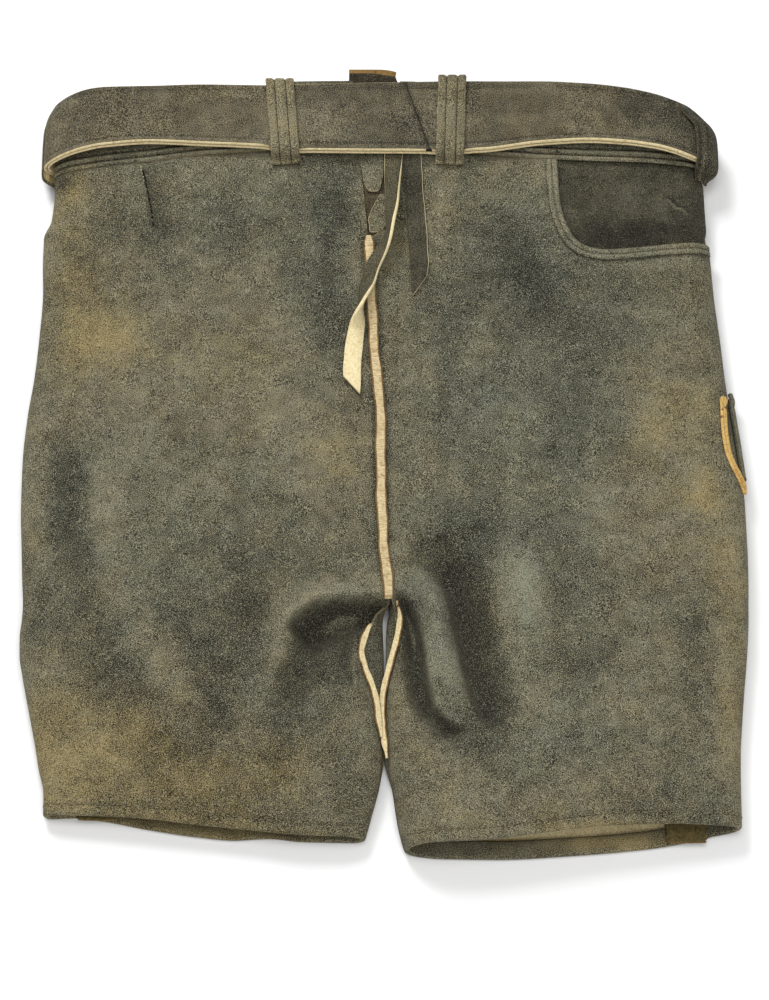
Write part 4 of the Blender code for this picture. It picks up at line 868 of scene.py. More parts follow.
def raw_leather(name, dark, pale, stained, fibres=(1.0, 1.0, 1.0), depth=0.5, stain=1.0):
    """Undyed leather: cream, fibrous, with brown stains."""
    s = Shader(name)
    fibre = s.noise(760, 3, 0.7, stretch=fibres)
    blotch, speck = s.noise(60, 4, 0.65), s.noise(300, 3, 0.7)
    tone = s.sum_of(0.5, (fibre, 1.4), (speck, 0.9), (blotch, 0.9))
    shade = s.ramp(tone, ((0.1, dark), (0.9, pale)))
    dirt = s.math("MULTIPLY", s.above(s.sum_of(0.5, (blotch, 0.7), (speck, 0.8)), 0.52, 0.72), stain)
    shade = s.mix(dirt, shade, stained)
    height = s.sum_of(0.5, (fibre, 1.2), (speck, 0.9))
    return s.finish(shade, 0.92, height, depth, 0.06)


# Dark, middle and pale colours, from 0 to 255, and what differs from plain suede.
SUEDES = {
    "suede": ((26, 26, 20), (85, 82, 65), (152, 146, 120), {}),
    "suede_dark": ((16, 16, 12), (54, 52, 41), (108, 103, 84), {"grain": 0.75, "warmth": 0.9}),
    "belt": ((22, 20, 15), (66, 62, 48), (140, 131, 106), {"cloud": 1.1, "grain": 1.1, "warmth": 0.9}),
    "loop": ((42, 39, 27), (91, 84, 64), (170, 159, 126), {"cloud": 0.8, "warmth": 0.9}),
    "loop_edge": ((48, 43, 30), (108, 98, 73), (182, 169, 132), {"cloud": 0.6, "warmth": 0.9}),
    # darker than the suede: painted shade for the gusset, which lies deep in the slit behind the belt
    "gusset": ((14, 12, 8), (60, 55, 41), (104, 95, 73), {"cloud": 0.8, "grain": 0.9}),
    # the loops' grooves, darker than the loop: painted shade
    "groove": ((22, 20, 13), (50, 46, 33), (84, 77, 56), {"cloud": 0.5, "grain": 0.8}),
    "lace": ((26, 26, 19), (62, 59, 44), (118, 111, 86), {"cloud": 0.6, "warmth": 0.5}),
    # the cream flesh side, paler than the leather's own flesh: painted light where it lies in shade
    # inside the hems
    "flesh": (
        (168, 148, 100), (230, 214, 168), (250, 240, 206), {"cloud": 0.5, "grain": 0.4, "warmth": 0.2},
    ),
}
# Dark, pale and stained colours, and what differs from plain undyed leather.
RAW_LEATHERS = {
    "cut_edge": ((190, 168, 118), (247, 233, 190), (160, 128, 80), {"stain": 0.6}),
    "worn_edge": ((74, 54, 28), (158, 126, 72), (66, 46, 24), {}),
    "dark_edge": ((74, 66, 46), (128, 116, 84), (60, 50, 34), {}),
    "lace_flesh": ((206, 186, 134), (248, 236, 194), (184, 150, 94), {"stain": 0.5}),
    "yellow": ((164, 118, 56), (238, 206, 132), (112, 76, 38), {}),
    "allowance": ((46, 40, 22), (124, 108, 66), (40, 33, 18), {}),
    "ribbed": (
        (150, 122, 78), (244, 228, 184), (120, 92, 54), {"fibres": (0.25, 2.2, 0.5), "stain": 0.8},
    ),
    "welt_side": ((96, 70, 40), (172, 138, 88), (70, 50, 30), {}),
    "thread_pale": ((92, 82, 60), (160, 148, 116), (70, 58, 40), {}),
    "seam_dark": ((14, 12, 9), (36, 32, 24), (10, 8, 6), {}),
    "thread": ((70, 58, 38), (116, 98, 68), (52, 40, 26), {"depth": 0.1}),
    "thread_brown": ((64, 42, 28), (100, 70, 48), (46, 30, 20), {"depth": 0.1}),
}


def make_finishes():
    """Fills FINISHES from the two tables."""
    for make, table in ((suede, SUEDES), (raw_leather, RAW_LEATHERS)):
        for name, (*shades, options) in table.items():
            FINISHES[name] = make(name, *(colour(*shade) for shade in shades), **options)


def make_brass():
    """Old brass: dull, darker in patches, with fine scratches."""
    s = Shader("old_brass")
    patches, scratches = s.noise(140, 4, 0.6), s.noise(420, 3, 0.6, stretch=(1, 14, 1))
    tone = s.sum_of(0.5, (patches, 1.3), (scratches, 0.5))
    shade = s.ramp(tone, ((0.2, colour(84, 66, 36)), (0.8, colour(196, 164, 96))))
    rough = s.sum_of(0.42, (patches, -0.5), (scratches, 0.3))
    return s.finish(shade, rough, scratches, 0.04, metallic=1.0)


# The camera, the floor and the light.


def make_stage():
    """A pale floor, soft light from above the waist, and the photograph's view."""
    reach, floor_z = 6.0, -0.0004
    mesh = bpy.data.meshes.new("floor")
    corners = ((-reach, -reach), (reach, -reach), (reach, reach), (-reach, reach))
    mesh.from_pydata([(x, y, floor_z) for x, y in corners], [], [(0, 1, 2, 3)])
    floor = bpy.data.objects.new("floor", mesh)
    bpy.context.scene.collection.objects.link(floor)
    pale = bpy.data.materials.new("floor")
    pale.use_nodes = True
    surface = pale.node_tree.nodes["Principled BSDF"].inputs
    surface["Base Color"].default_value = (0.93, 0.93, 0.93, 1)
    surface["Roughness"].default_value = 0.9
    mesh.materials.append(pale)

    world = bpy.data.worlds.new("studio")
    world.use_nodes = True
    sky = world.node_tree.nodes["Background"].inputs
    sky["Color"].default_value = (1, 1, 1, 1)
    sky["Strength"].default_value = 0.30
    bpy.context.scene.world = world

    # name, place, what it points at, size, watts
    lamps = (
        ("key", (-0.6, 1.2, 1.5), (0, 0, 0), 0.7, 26),
        ("top", (0.1, -0.2, 2.4), (0, 0, 0), 1.2, 22),
        ("front", (0.4, -1.5, 1.4), (0, 0, 0), 1.0, 12),
    )
    for name, place, target, size, watts in lamps:
        lamp = bpy.data.lights.new(name, "AREA")
        lamp.size = size
        lamp.energy = watts
        made = bpy.data.objects.new(name, lamp)
        made.location = place
        aim = Vector(target) - Vector(place)
        made.rotation_euler = aim.to_track_quat("-Z", "Y").to_euler()
        bpy.context.scene.collection.objects.link(made)

    # the photograph looks down from the hems' side, 25 degrees from straight above
    lens = bpy.data.cameras.new("camera")
    lens.sensor_fit = "VERTICAL"
    lens.sensor_height = 36.0
    lens.lens = 105.9
    lens.shift_y = -0.034
    lens.clip_end = 20.0
    camera = bpy.data.objects.new("camera", lens)
    camera.location = (0.0, -0.8627, 1.8276)
    camera.rotation_euler = (math.radians(25), 0, 0)
    bpy.context.scene.collection.objects.link(camera)
    scene = bpy.context.scene
    scene.camera = camera
    scene.view_settings.view_transform = "Standard"
    scene.view_settings.look = "None"


# The laces' routes: x, y, width, and how far the thong is rolled over, in degrees.
LACE_WIDTH = 12.0
LONG_LACE = (
    (6.4, 228, 12.5, 0), (6.3, 214, 12.4, 0), (6.0, 200, 12.2, -22), (5.8, 186, 12.0, -34),
    (5.2, 170, 12.0, -52),
    (4.0, 155, 12.0, -68), (-0.5, 141, 12.0, -50), (-7.2, 128, 12.0, -30), (-12.4, 108, 12.0, -40),
    (-15.2, 93, 12.0, -88), (-19.0, 78, 12.0, -150), (-21.5, 60, 12.0, -176), (-22.5, 36, 12.0, -180),
)
SHORT_LACE = (
    (19.0, 228, 12.5, 0), (20.0, 208, 12.5, 0), (21.0, 188, 12.8, 0), (22.3, 168, 13.0, 0),
    (23.5, 146, 13.0, 0), (24.5, 126, 13.0, 0), (24.6, 114, 10.0, 0),
)


def lace_path(route, over_welt):
    """A lace's middle line, its widths and the way it faces, on top of what it lies on."""
    dense = along_curve([(x, y, 0, width, roll) for x, y, width, roll in route], 1.2)
    x, y, width, roll = dense[:, 0], dense[:, 1], dense[:, 3], np.radians(dense[:, 4])
    nowhere, own_reach = -1e9, 12  # own_reach: how far past x = 0 a panel is looked up
    rest = np.full(len(x), nowhere)
    for step in (-5, -2.5, 0, 2.5, 5):
        for side in (LEFT, RIGHT):
            own = (x + step) * side > -own_reach
            rest = np.maximum(rest, np.where(own, outer_z(side, x + step, y), nowhere))
    reach = 6  # points on each side that smooth the height
    window = np.ones(2 * reach + 1) / (2 * reach + 1)
    rest = np.convolve(np.pad(rest, reach, mode="edge"), window, mode="valid")
    stand = np.abs(np.sin(roll)) * width / 2
    under = (WELT_HEIGHT + PROUD) * ease(-y, -172, -150) if over_welt else 0
    z = rest + 2 * GAP + stand + under + LACE_THICKNESS / 2 + 0.2
    path = np.stack([x, y, z], axis=1)
    normals = np.stack([np.sin(roll), 0 * x, np.cos(roll)], axis=1)
    return path, width, normals


def make_laces():
    """Two flat thongs with cream edges: the long one turns over."""
    for node, route, over_welt in (("lace_long", LONG_LACE, True), ("lace_short", SHORT_LACE, False)):
        path, width, normals = lace_path(route, over_welt)
        far = distance_along(path)
        # the free ends are cut on a slant
        slant = (13.0 if over_welt else 15.0) * ease(far, far[-1] - 26, far[-1])
        uneven = 1 + 0.03 * np.sin(far / 9.0) + 0.02 * np.sin(far / 3.7)
        thick = LACE_THICKNESS + (0.7 if over_welt else 0.5)
        section, sides = flat_section(LACE_WIDTH / 2, thick, edge=0.3, steps=9)
        section = [(across, up - LACE_THICKNESS / 2) for across, up in section]
        # the short lace's left edge lies in shade, so it takes the face's dark colour: painted shade
        if not over_welt:  # only its right edge is pale
            sides = [0 if k > 3 and part == 2 else part for k, part in enumerate(sides)]
        slots = ("lace" if over_welt else "suede_dark", "lace_flesh", "lace_flesh")
        widths = width * uneven
        piece = sweep(f"thong_{node}", path, normals, section, slots, sides, widths, shear=slant)
        stand_for(piece, "lace", node)
        [tuple(point) for point in path[np.linspace(0, len(path) - 1, 30).astype(int)] * MM]


# Panels.

CROWD = 1.25  # how much closer a panel's columns are at its inner edge
HEM_TURN = 9.0
POCKET_MOUTH = (
    (122.0, 232), (122.0, 214), (122.6, 194), (124.0, 176), (128.0, 161), (133.0, 151),
    (140.0, 145.5), (149, 143.5), (164, 144.2), (178, 146), (193, 148), (207, 149.8),
    (214, 150.5), (220, 151), (224.5, 151.3), (227.5, 151.5),
)
POCKET_EDGE_WIDTH = 8.0
PANEL_ROWS = np.concatenate([
    np.arange(WAIST_SEAM_Y, -84, -3.2), np.arange(-84, -226, -1.5), np.linspace(-226, -257, 11),
    np.linspace(-258, HEM_Y + 2, 15),
])
HEM_SEWN_Y = HEM_Y + 7.4
HEM_ROLL = LEATHER / 2 + 1.2  # radius of the fold at a hem's edge


def turned_hem(grid, make, flip):
    """Adds the rows that turn a panel's hem up inside."""
    normals = grid_normals(grid, flip)[-1]
    down = unit(grid[-1] - grid[-2])
    rows = [grid]
    for angle in np.linspace(0, math.pi, 9)[1:]:
        out, back = HEM_ROLL * math.sin(angle), HEM_ROLL * (1 - math.cos(angle))
        rows.append((grid[-1] + down * out - normals * back)[None])
    inner = make(np.linspace(HEM_Y + 2, HEM_Y + 2 + HEM_TURN, 7)[::-1])
    inside = inner - 2 * HEM_ROLL * grid_normals(inner, flip)
    rows.append(inside[::-1][1:])
    return np.concatenate(rows)


def inside_mouth(x, y):
    """Whether points are inside the hip pocket's mouth."""
    outline = POCKET_MOUTH + ((262, 152), (262, 232))
    inside = np.zeros(np.shape(x), bool)
    for (ax, ay), (bx, by) in zip(outline, outline[1:] + outline[:1], strict=True):
        if ay != by:
            crosses = (ay > y) != (by > y)
            inside ^= crosses & (x < ax + (y - ay) / (by - ay) * (bx - ax))
    return inside


def cut_mouth(grid):
    """Opens the hip pocket in the right back panel: its points, and which faces stay."""
    rows, width = grid.shape[:2]
    faces = grid_faces(rows, width)
    points = grid.reshape(-1, 3)
    middle = points[faces].mean(axis=1)
    lowest, end_x, reach = 9, 224, 4  # not underneath, short of the side, and how near
    keep = ~(inside_mouth(middle[:, 0], middle[:, 1]) & (middle[:, 2] > lowest))
    border = np.zeros(len(points), int)
    border[np.unique(faces[keep])] += 1
    border[np.unique(faces[~keep])] += 1
    border = np.nonzero((border == 2) & (points[:, 2] > lowest) & (points[:, 0] < end_x))[0]
    line = along_curve([(x, y, 0) for x, y in POCKET_MOUTH], 0.4)[:, :2]
    gaps = np.linalg.norm(points[border, None, :2] - line[None], axis=2)
    nearest = line[gaps.argmin(axis=1)]
    near = gaps.min(axis=1) < reach
    chosen = border[near]
    points[chosen, :2] = nearest[near]
    points[chosen, 2] = outer_z(RIGHT, points[chosen, 0], points[chosen, 1])
    return grid, keep


def make_panels():
    """Two back panels, which wrap round the sides, and two front panels, all with hems."""
    slots = ["suede", "flesh", "dark_edge"]
    for side, word in SIDES:
        flip = side == RIGHT

        def back_part(rows_y, side=side):
            return back_grid(side, rows_y, (130, 22, 14), crowd=CROWD)

        def front_part(rows_y, side=side):
            return front_grid(side, rows_y, (60, 24))

        keep = None
        back = turned_hem(back_part(PANEL_ROWS), back_part, flip)
        if side == RIGHT:
            back, keep = cut_mouth(back)
        # painted shade and highlight from the folds: less than the full depth of the deepest folds,
        # more of the small creases, and a painted dark line of shade along the hem's seam and next to
        # the centre-back welt
        lift = creases_at(back[..., 0], back[..., 1]) * ease(back[..., 2], 10, 13)
        lift = np.where(lift < -3, -3 + 0.65 * (lift + 3), lift)
        lift = lift * (1 + 0.6 * hump(lift, 0, 3))
        lift[: len(PANEL_ROWS)] -= 3 * hump(PANEL_ROWS, HEM_SEWN_Y, 0.9)[:, None]
        edge = panel_row(side, back[..., 1])["edge_x"]
        inward = (back[..., 0] - edge) * side
        shadow_next_to_welt = hump(inward, 3.6, 2.2) * ease(back[..., 1], -118, -108)
        lift -= 5 * shadow_next_to_welt * (1 - ease(back[..., 1], 150, 160))
        piece = wall(f"panel_back_{word}", back, slots, LEATHER, flip, keep=keep, lift=lift)
        stand_for(
            piece, "suede", f"back_{word}", f"hem_back_{word}", flat=(300, 535),
            rests_on=[f"panel_front_{word}"],
        )
        half_rows = PANEL_ROWS[::-2][::-1]
        front = turned_hem(front_part(half_rows), front_part, flip)
        piece = wall(f"panel_front_{word}", front, slots, LEATHER, flip)
        stand_for(piece, "suede", f"front_{word}", f"hem_front_{word}", flat=(240, 535))


# The stitched folds along the waistband's lower edge, which are also painted as shade and highlight:
# y, half width, height.
BAND_SEWN_Y = 218.8
BAND_RIDGES = ((216.2, 1.4, 1.7), (218.8, 0.7, -1.2), (221.4, 1.3, 1.5), (224.2, 0.8, -1.3))


def band_lift(y):
    """How far the waistband's sewn lower edge stands out, at nominal rows."""
    return sum(height * hump(y, at, width) for at, width, height in BAND_RIDGES)


def make_waistband():
    """A band in two halves, with a turned and stitched lower edge."""
    rows_y = np.concatenate([
        np.linspace(WAIST_TOP_Y, 228, 16), np.linspace(227.2, WAIST_SEAM_Y + GAP, 24),
    ])
    for side, word in SIDES:
        flip = side == RIGHT
        back = back_grid(side, rows_y, (90, 22, 14), crowd=CROWD)[:, :-1]
        grid = np.concatenate([back, front_grid(side, rows_y, (50, 16))], axis=1)
        outward = ease(grid[..., 0] * side, 190, 226)
        grid[..., 0] += 0.8 * lean(side, grid[..., 1]) * outward
        x = grid[..., 0]
        drop = 2.0 + 7.5 * ease(x * side, 120, 222) + 5.0 * ease(-x, 70, 82) + 4.5 * ease(x, 20, 40)
        grid[..., 1] -= drop * ease(grid[..., 1], 240, 278)
        ridges = band_lift(rows_y)[:, None]
        grid = grid + ridges[..., None] * grid_normals(grid, flip)
        slots = ["suede", "flesh", "dark_edge"]
        # its ridges are also painted: shade in the grooves, highlight on the folds
        piece = wall(f"band_{word}", grid, slots, LEATHER, flip, lift=np.minimum(7 * ridges, 6))
        soften(piece, 0.3)
        stand_for(piece, "suede", f"waistband_{word}", flat=(480, 66))


def refine(rows, down, across):
    """A denser grid through a coarse one."""
    grid = np.array(rows, float)
    for axis, count in ((0, down), (1, across)):
        size = grid.shape[axis]
        at = np.linspace(0, size - 1, count)
        lines = np.moveaxis(grid, axis, 0)
        flat = lines.reshape(size, -1)
        places = np.arange(size, dtype=float)
        dense = np.stack([catmull(at, places, column) for column in flat.T], axis=1)
        grid = np.moveaxis(dense.reshape(count, *lines.shape[1:]), 0, axis)
    return grid


def make_allowances():
    """The side seams' raw allowances, which lie open inside the hems."""
    half, length, inset = 13, 70, 12.5
    for side, word in SIDES:
        seam = float(panel_row(side, HEM_Y)["out_x"]) - side * SIDE_WRAP
        hem = float(smooth(seam, FRONT_HEM[side]))
        y = np.linspace(hem + length, hem + 1, 40)[:, None]
        across = np.linspace(half, -half, 15)[None, :]
        rough = 1 + 0.05 * np.sin(y * 0.9) + 0.04 * np.sin(y * 2.3 + across)
        x = seam + (inset + across * rough) * side
        z = 2 * (LEATHER + GAP) + 0.9 + 0.35 * np.sin(y * 0.35) + 0.006 * across ** 2
        grid = np.stack([x, y + 0 * x, z + 0 * x], axis=2)
        slots = ["allowance", "allowance", "worn_edge"]
        piece = wall(f"allowance_{word}", grid, slots, 1.4, side == RIGHT)
        flat, rests_on = (2 * half, length), [f"panel_front_{word}"]
        stand_for(piece, "cut_edge", f"seam_allowance_{word}", flat=flat, rests_on=rests_on)


# Welts: strips sandwiched in the seams, standing proud of them.

CENTRE_WELT_WIDTH, CENTRE_WELT_TOP_Y = 7.4, 153
# An inseam welt's line, y first.
INSEAM_WELTS = {
    LEFT: (
        (-131, -7.8), (-139, -10.8), (-148, -14.2), (-156, -15.6), (-166, -13.4), (-178, -8.8),
        (-190, -5.6), (-202, -4.2), (-214, -2.6),
    ),
    RIGHT: (
        (-119.5, 8.8), (-128, 10.6), (-138, 10.2), (-150, 7.8), (-159, 5.2), (-168, 2.8), (-177, 0.6),
        (-187, -1.0), (-198, -1.2), (-208, -0.6), (-218, 0.6), (-228, 2.2),
    ),
}


def seam_path(side, rows_y, lift):
    """The inner edge of a back panel, lifted."""
    row = panel_row(side, rows_y)
    x = row["edge_x"]
    y = shifted_y(side, x, rows_y)
    return np.stack([x, y, back_height(side, x, y, row) + lift], axis=1)


def make_welts():
    """The ribbed centre-back welt with its blunt top, and the two inseam welts."""
    rows_y = np.arange(CENTRE_WELT_TOP_Y, CROTCH_Y + 3, -0.5)
    path = seam_path(LEFT, rows_y, PROUD)
    x, y = path[:, 0], path[:, 1]
    sides = np.maximum(outer_z(LEFT, x - 3.9, y), outer_z(RIGHT, x + 3.9, y)) + PROUD
    path[:, 2] = np.maximum(path[:, 2], sides)
    path[:, 0] += GAP / 2 + 0.35 * np.sin(y / 17) + 0.25 * np.sin(y / 6.1)
    far = CENTRE_WELT_TOP_Y - rows_y
    uneven = 1 + 0.05 * np.sin(far / 3.1) + 0.05 * np.sin(far / 7.7)
    width = CENTRE_WELT_WIDTH * uneven * (0.68 + 0.32 * ease(far, 0, 7))
    height = 1 + 0.14 * np.sin(far * 2 * math.pi / 1.8) + 0.06 * np.sin(far / 2.3)
    section, parts = flat_section(CENTRE_WELT_WIDTH / 2, WELT_HEIGHT + 0.3, edge=1.1, steps=9)
    section = [(a, up - 0.05 * (a * CENTRE_WELT_WIDTH) ** 2) for a, up in section]
    slots = ["ribbed", "dark_edge", "welt_side"]
    piece = sweep("welt_centre", path, UP, section, slots, parts, width, height)
    stand_for(piece, "cut_edge", "cb_welt")
    for side, word in SIDES:
        step = 0.7
        line = along_curve([(x, y, 0) for y, x in INSEAM_WELTS[side]], step)
        x, y = line[:, 0], line[:, 1]
        below = np.max([outer_z(side, x + side * out, y) for out in (-1.0, 0.5, 2.0)], axis=0)
        path = np.stack([x, y, below + 0.7 + 1.6 * (1 - ease(y, -192, -172))], axis=1)
        facing = (-side * 0.45, 0, 0.89)
        far = np.arange(len(path)) * step
        section, parts = flat_section(2.2, 1.7, edge=0.45, steps=7)
        width = 4.6 * (1 + 0.06 * np.sin(far / 2.2)) * (0.25 + 0.75 * ease(far, 0, 16))
        width = width * (1 - 0.6 * ease(far, far[-1] - 12, far[-1]))
        slots = ["cut_edge", "dark_edge", "welt_side"]
        piece = sweep(f"welt_{word}", path, facing, section, slots, parts, width)
        stand_for(piece, "cut_edge", f"inseam_welt_{word}")


# The slit at the top of the centre back.

SLIT_LEATHER = LEATHER - 0.2
# Lines across the tab and the folded corner, from the left edge to the right.
SLIT_TAB = (
    ((-18.4, 232), (-0.8, 232)), ((-18.2, 219), (-0.4, 219)), ((-15.9, 205), (-0.8, 205)),
    ((-14.4, 196), (-2.0, 196)), ((-12.8, 190), (-3.0, 190)),
)
SLIT_CORNER = (
    ((-3.5, 187.5), (1.5, 188)), ((-10.9, 171), (4.4, 172)), ((-10.6, 163), (1.2, 163)),
    ((-10.2, 158), (-4.0, 158)),
)


def slit_grid(lines, down, across):
    """Points over a small piece that hangs in the slit."""
    rows = []
    for (ax, ay), (bx, by) in lines:
        z = float(panel_row(LEFT, ay)["edge_z"]) - GAP
        rows.append([(ax, ay, z), ((ax + bx) / 2, (ay + by) / 2, z), (bx, by, z)])
    return refine(rows, down, across)


def make_slit():
    """The gusset behind the slit, the tab that hangs in it, and its folded corner."""
    rows = []
    for y in (291.0, 284.0, 262.0, 236.0, 214.0, 190.0, 172.0, 158.0, 147.0):
        left = panel_row(LEFT, y)
        right = panel_row(RIGHT, y)
        low, high = float(left["edge_x"]) - 4.5, float(right["edge_x"]) + 5.0
        if y > WAIST_TOP_Y:
            low, high = -25.5, 8.5
        z = float(left["edge_z"]) - LEATHER - 2 * GAP
        rows.append([(x, y, z) for x in np.linspace(low, high, 4)])
    grid = refine(rows, 90, 24)
    sag = ease(grid[:, :, 1], 150, 200) * (1 - ease(grid[:, :, 1], 268, 284))
    grid[:, :, 2] -= sag * (0.5 + 0.4 * ripple(grid[:, :, 0], grid[:, :, 1], 9, 5))
    top = ease(grid[:, :, 1], 276, 291)
    across = np.linspace(-1, 1, grid.shape[1])[None, :]
    grid[:, :, 1] -= top * 2.2 * np.clip(across, 0, 1) ** 3
    piece = wall("gusset", grid, ["gusset", "flesh", "worn_edge"], LEATHER, flip=True)
    for face in piece.data.polygons:  # the worn top edge, lower on the right
        if face.center.y > 0.2878 - 0.003 * max(0.0, face.center.x + 0.009) / 0.017:
            face.material_index = 2
    soften(piece, 0.4)
    rests_on = ["panel_back_left", "panel_back_right"]
    stand_for(piece, "suede_dark", "back_gusset", flat=(34, 145), rests_on=rests_on)
    grid = slit_grid(SLIT_TAB, 40, 15)
    across = np.linspace(-1, 1, 15)[None, :]
    foot = 1 - ease(grid[:, :, 1], 189, 198)
    grid[:, :, 1] += foot * 2.2 * np.abs(across) ** 4
    grid[:, :, 2] += 0.5 * (1 - across ** 2) + 0.4 * ripple(grid[:, :, 0], grid[:, :, 1], 8, 6)
    tab = wall("tab", grid, ["suede", "flesh", "cut_edge"], SLIT_LEATHER, flip=True)
    soften(tab, 0.45, 3)
    stand_for(tab, "suede", "slit_tab", flat=(18, 42), rests_on=["gusset"])
    grid = slit_grid(SLIT_CORNER, 20, 15)
    grid[:, :, 2] += 0.35 * ripple(grid[:, :, 0], grid[:, :, 1], 6, 7)
    facet = wall("corner", grid, ["suede", "flesh", "cut_edge"], SLIT_LEATHER, flip=True)
    soften(facet, 0.45, 3)
    stand_for(facet, "suede", "slit_corner", flat=(16, 31), rests_on=["gusset"])


# The belt: a closed ring seen along Y, flat above and below, rounder above at its ends.

BELT_LEFT_X, BELT_RIGHT_X = -242.5, 232.0
BELT_TOP_Z = 38.7
BELT_UPPER_END, BELT_LOWER_END = {LEFT: 42.0, RIGHT: 38.0}, {LEFT: 22.0, RIGHT: 20.0}
SPLICE_LOW_X, SPLICE_HIGH_X = 32.0, 14.6
BELT_FRONT_LOW_Y, BELT_FRONT_WIDTH = 214.0, 50.0
# x, lower edge, upper edge of the back stretch.
BELT_EDGES = (
    (-242.5, 212.0, 262.0), (-233, 215.5, 267.0), (-218, 219.5, 269.5), (-201, 222.5, 270.5),
    (-166, 225.5, 271.5), (-131, 224.0, 272.5), (-85, 221.5, 271.8), (-60, 218.5, 272.5),
    (-32, 218.0, 273.5), (11, 217.8, 274.5), (38, 217.5, 275.0), (68, 218.5, 275.2),
    (111, 224.5, 275.2), (145, 226.5, 273.4), (171, 225.0, 270.0), (190, 222.0, 265.5),
    (203, 219.0, 261.5), (218, 214.5, 258.5), (233, 210.5, 256.5),
)
LEAN = {LEFT: (9.0, 247, 270), RIGHT: (12.0, 230, 268)}  # reach, from where, to where along Y
LINING_SHOWS = 1.0  # how far the lining's lower edge shows below the belt's face
BACK_LOOP_XS = (-70.5, 46.5)  # where the loops hold the belt's lower edge down
BELT_CURL = 2.6  # how far the free stretches of that edge curl up


def belt_edges(x):
    """The y of the lower and the upper edge of the belt's back stretch."""
    return (smooth(x, [(row[0], row[k]) for row in BELT_EDGES]) for k in (1, 2))


def splice_x(v):
    """Where the slanted joint of the belt is, from 0 at its lower edge to 1 at its upper."""
    return SPLICE_LOW_X + (SPLICE_HIGH_X - SPLICE_LOW_X) * v


def lean(side, y):
    """How far each end of the waist leans inwards towards its top."""
    reach, low, high = LEAN[side]
    return -side * reach * ease(y, low, high + 10) * 1.3


def belt_end(side, angle, inset):
    """A point of the belt's section at one end, by angle above the horizontal."""
    end_x = BELT_LEFT_X if side == LEFT else BELT_RIGHT_X
    reach = (BELT_UPPER_END if angle >= 0 else BELT_LOWER_END)[side]
    middle = (BELT_TOP_Z + BELT_FLOOR) / 2
    half = (BELT_TOP_Z - BELT_FLOOR) / 2
    x = end_x - side * reach + side * (reach - inset) * math.cos(angle)
    return x, middle + (half - inset) * math.sin(angle)


def belt_row(side, v, inset, start_x, columns):
    """Points along one side's half of the belt, from the back joint round to the front, at
    v of its width. columns gives the steps above, round the end and below."""
    across, round_end, under = columns
    end_x = BELT_LEFT_X if side == LEFT else BELT_RIGHT_X
    shoulder = end_x - side * BELT_UPPER_END[side]
    top = [(x, BELT_TOP_Z - inset, 0.0) for x in np.linspace(start_x, shoulder, across + 1)]
    turn = [
        (*belt_end(side, math.pi / 2 - math.pi * i / round_end, inset), i / round_end)
        for i in range(1, round_end + 1)
    ]
    first = turn[-1][0]
    flat = [
        (first + (side * GAP / 2 - first) * i / under, BELT_FLOOR + inset, 1.0)
        for i in range(1, under + 1)
    ]
    x, z, below = np.array(top + turn + flat).T
    low, high = belt_edges(x)
    low = low + (BELT_FRONT_LOW_Y - low) * below
    high = high + (BELT_FRONT_LOW_Y + BELT_FRONT_WIDTH - high) * below
    if inset:
        low = low - LINING_SHOWS * (1 - below)
    y = low + (high - low) * v
    worn = (1 - ease(below, 0, 0.2)) * (0.22 + 0.22 * ripple(x, y, 30, 11))
    free = np.prod([1 - np.exp(-(((x - at) / 13) ** 4)) for at in BACK_LOOP_XS], axis=0)
    x = x + lean(side, y) * ease((x - shoulder) * side, 0, BELT_UPPER_END[side])
    curl = (1 - ease(below, 0.1, 0.6)) * free * BELT_CURL * max(0.0, 1 - v / 0.11) ** 2
    return np.stack([x, y, z - worn + curl], axis=1)


def make_belt():
    """An outer layer in two lengths, joined on a slant, over a lining of one ring."""
    levels = np.concatenate([np.linspace(1, 0.16, 21), np.linspace(0.145, 0, 14)])
    # painted shade and highlight across the belt, which has no such relief: a lighter ridge and a
    # darker groove of a stitched fold near the lower edge, and a darker top edge
    belt_painted_shading = 2.5 * hump(levels, 0.055, 0.03) - 4 * hump(levels, 0.105, 0.014)
    belt_painted_shading = belt_painted_shading - 3 * hump(levels, 0.93, 0.03)
    for side, word in SIDES:
        rows = []
        for v in levels:
            rows.append(belt_row(side, v, 0.0, splice_x(v) + side * 0.1, (90, 40, 60)))
        grid = np.array(rows)
        # the second three slots are for the joint, whose edge is dark
        slots = ["belt", "flesh", "cut_edge", "belt", "flesh", "seam_dark"]
        lift = np.repeat(belt_painted_shading[:, None], grid.shape[1], axis=1)
        # painted shade along the slanted joint
        lift[:, :2] -= np.array((5.0, 1.0))
        piece = wall(f"strap_{word}", grid, slots, BELT_LAYER, side == RIGHT, lift=lift)
        for face in list(piece.data.polygons)[:: grid.shape[1] - 1]:
            face.material_index = 3
        soften(piece, 0.7, 3)
        stand_for(piece, "belt", f"belt_outer_{word}", flat=(530, 52), rests_on=["lining"])
    inset = BELT_LAYER + 2 * GAP
    rows = []
    for v in levels[::2]:
        left = belt_row(LEFT, v, inset, 0.0, (60, 40, 50))
        right = belt_row(RIGHT, v, inset, 0.0, (60, 40, 50))
        rows.append(np.concatenate([left, right[:0:-1]]))
    piece = wall("lining", np.array(rows), ["flesh", "flesh", "cut_edge"], LINING, ring=True)
    soften(piece, 0.4, 2)
    rests_on = ["band_left", "band_right"]
    stand_for(piece, "belt_lining", "belt_lining", flat=(1020, 50), rests_on=rests_on)


# Belt loops.

LOOP_WIDTH = 20.0
LOOP_GROOVE = 3.9  # how far a loop's turned edges reach in from its middle
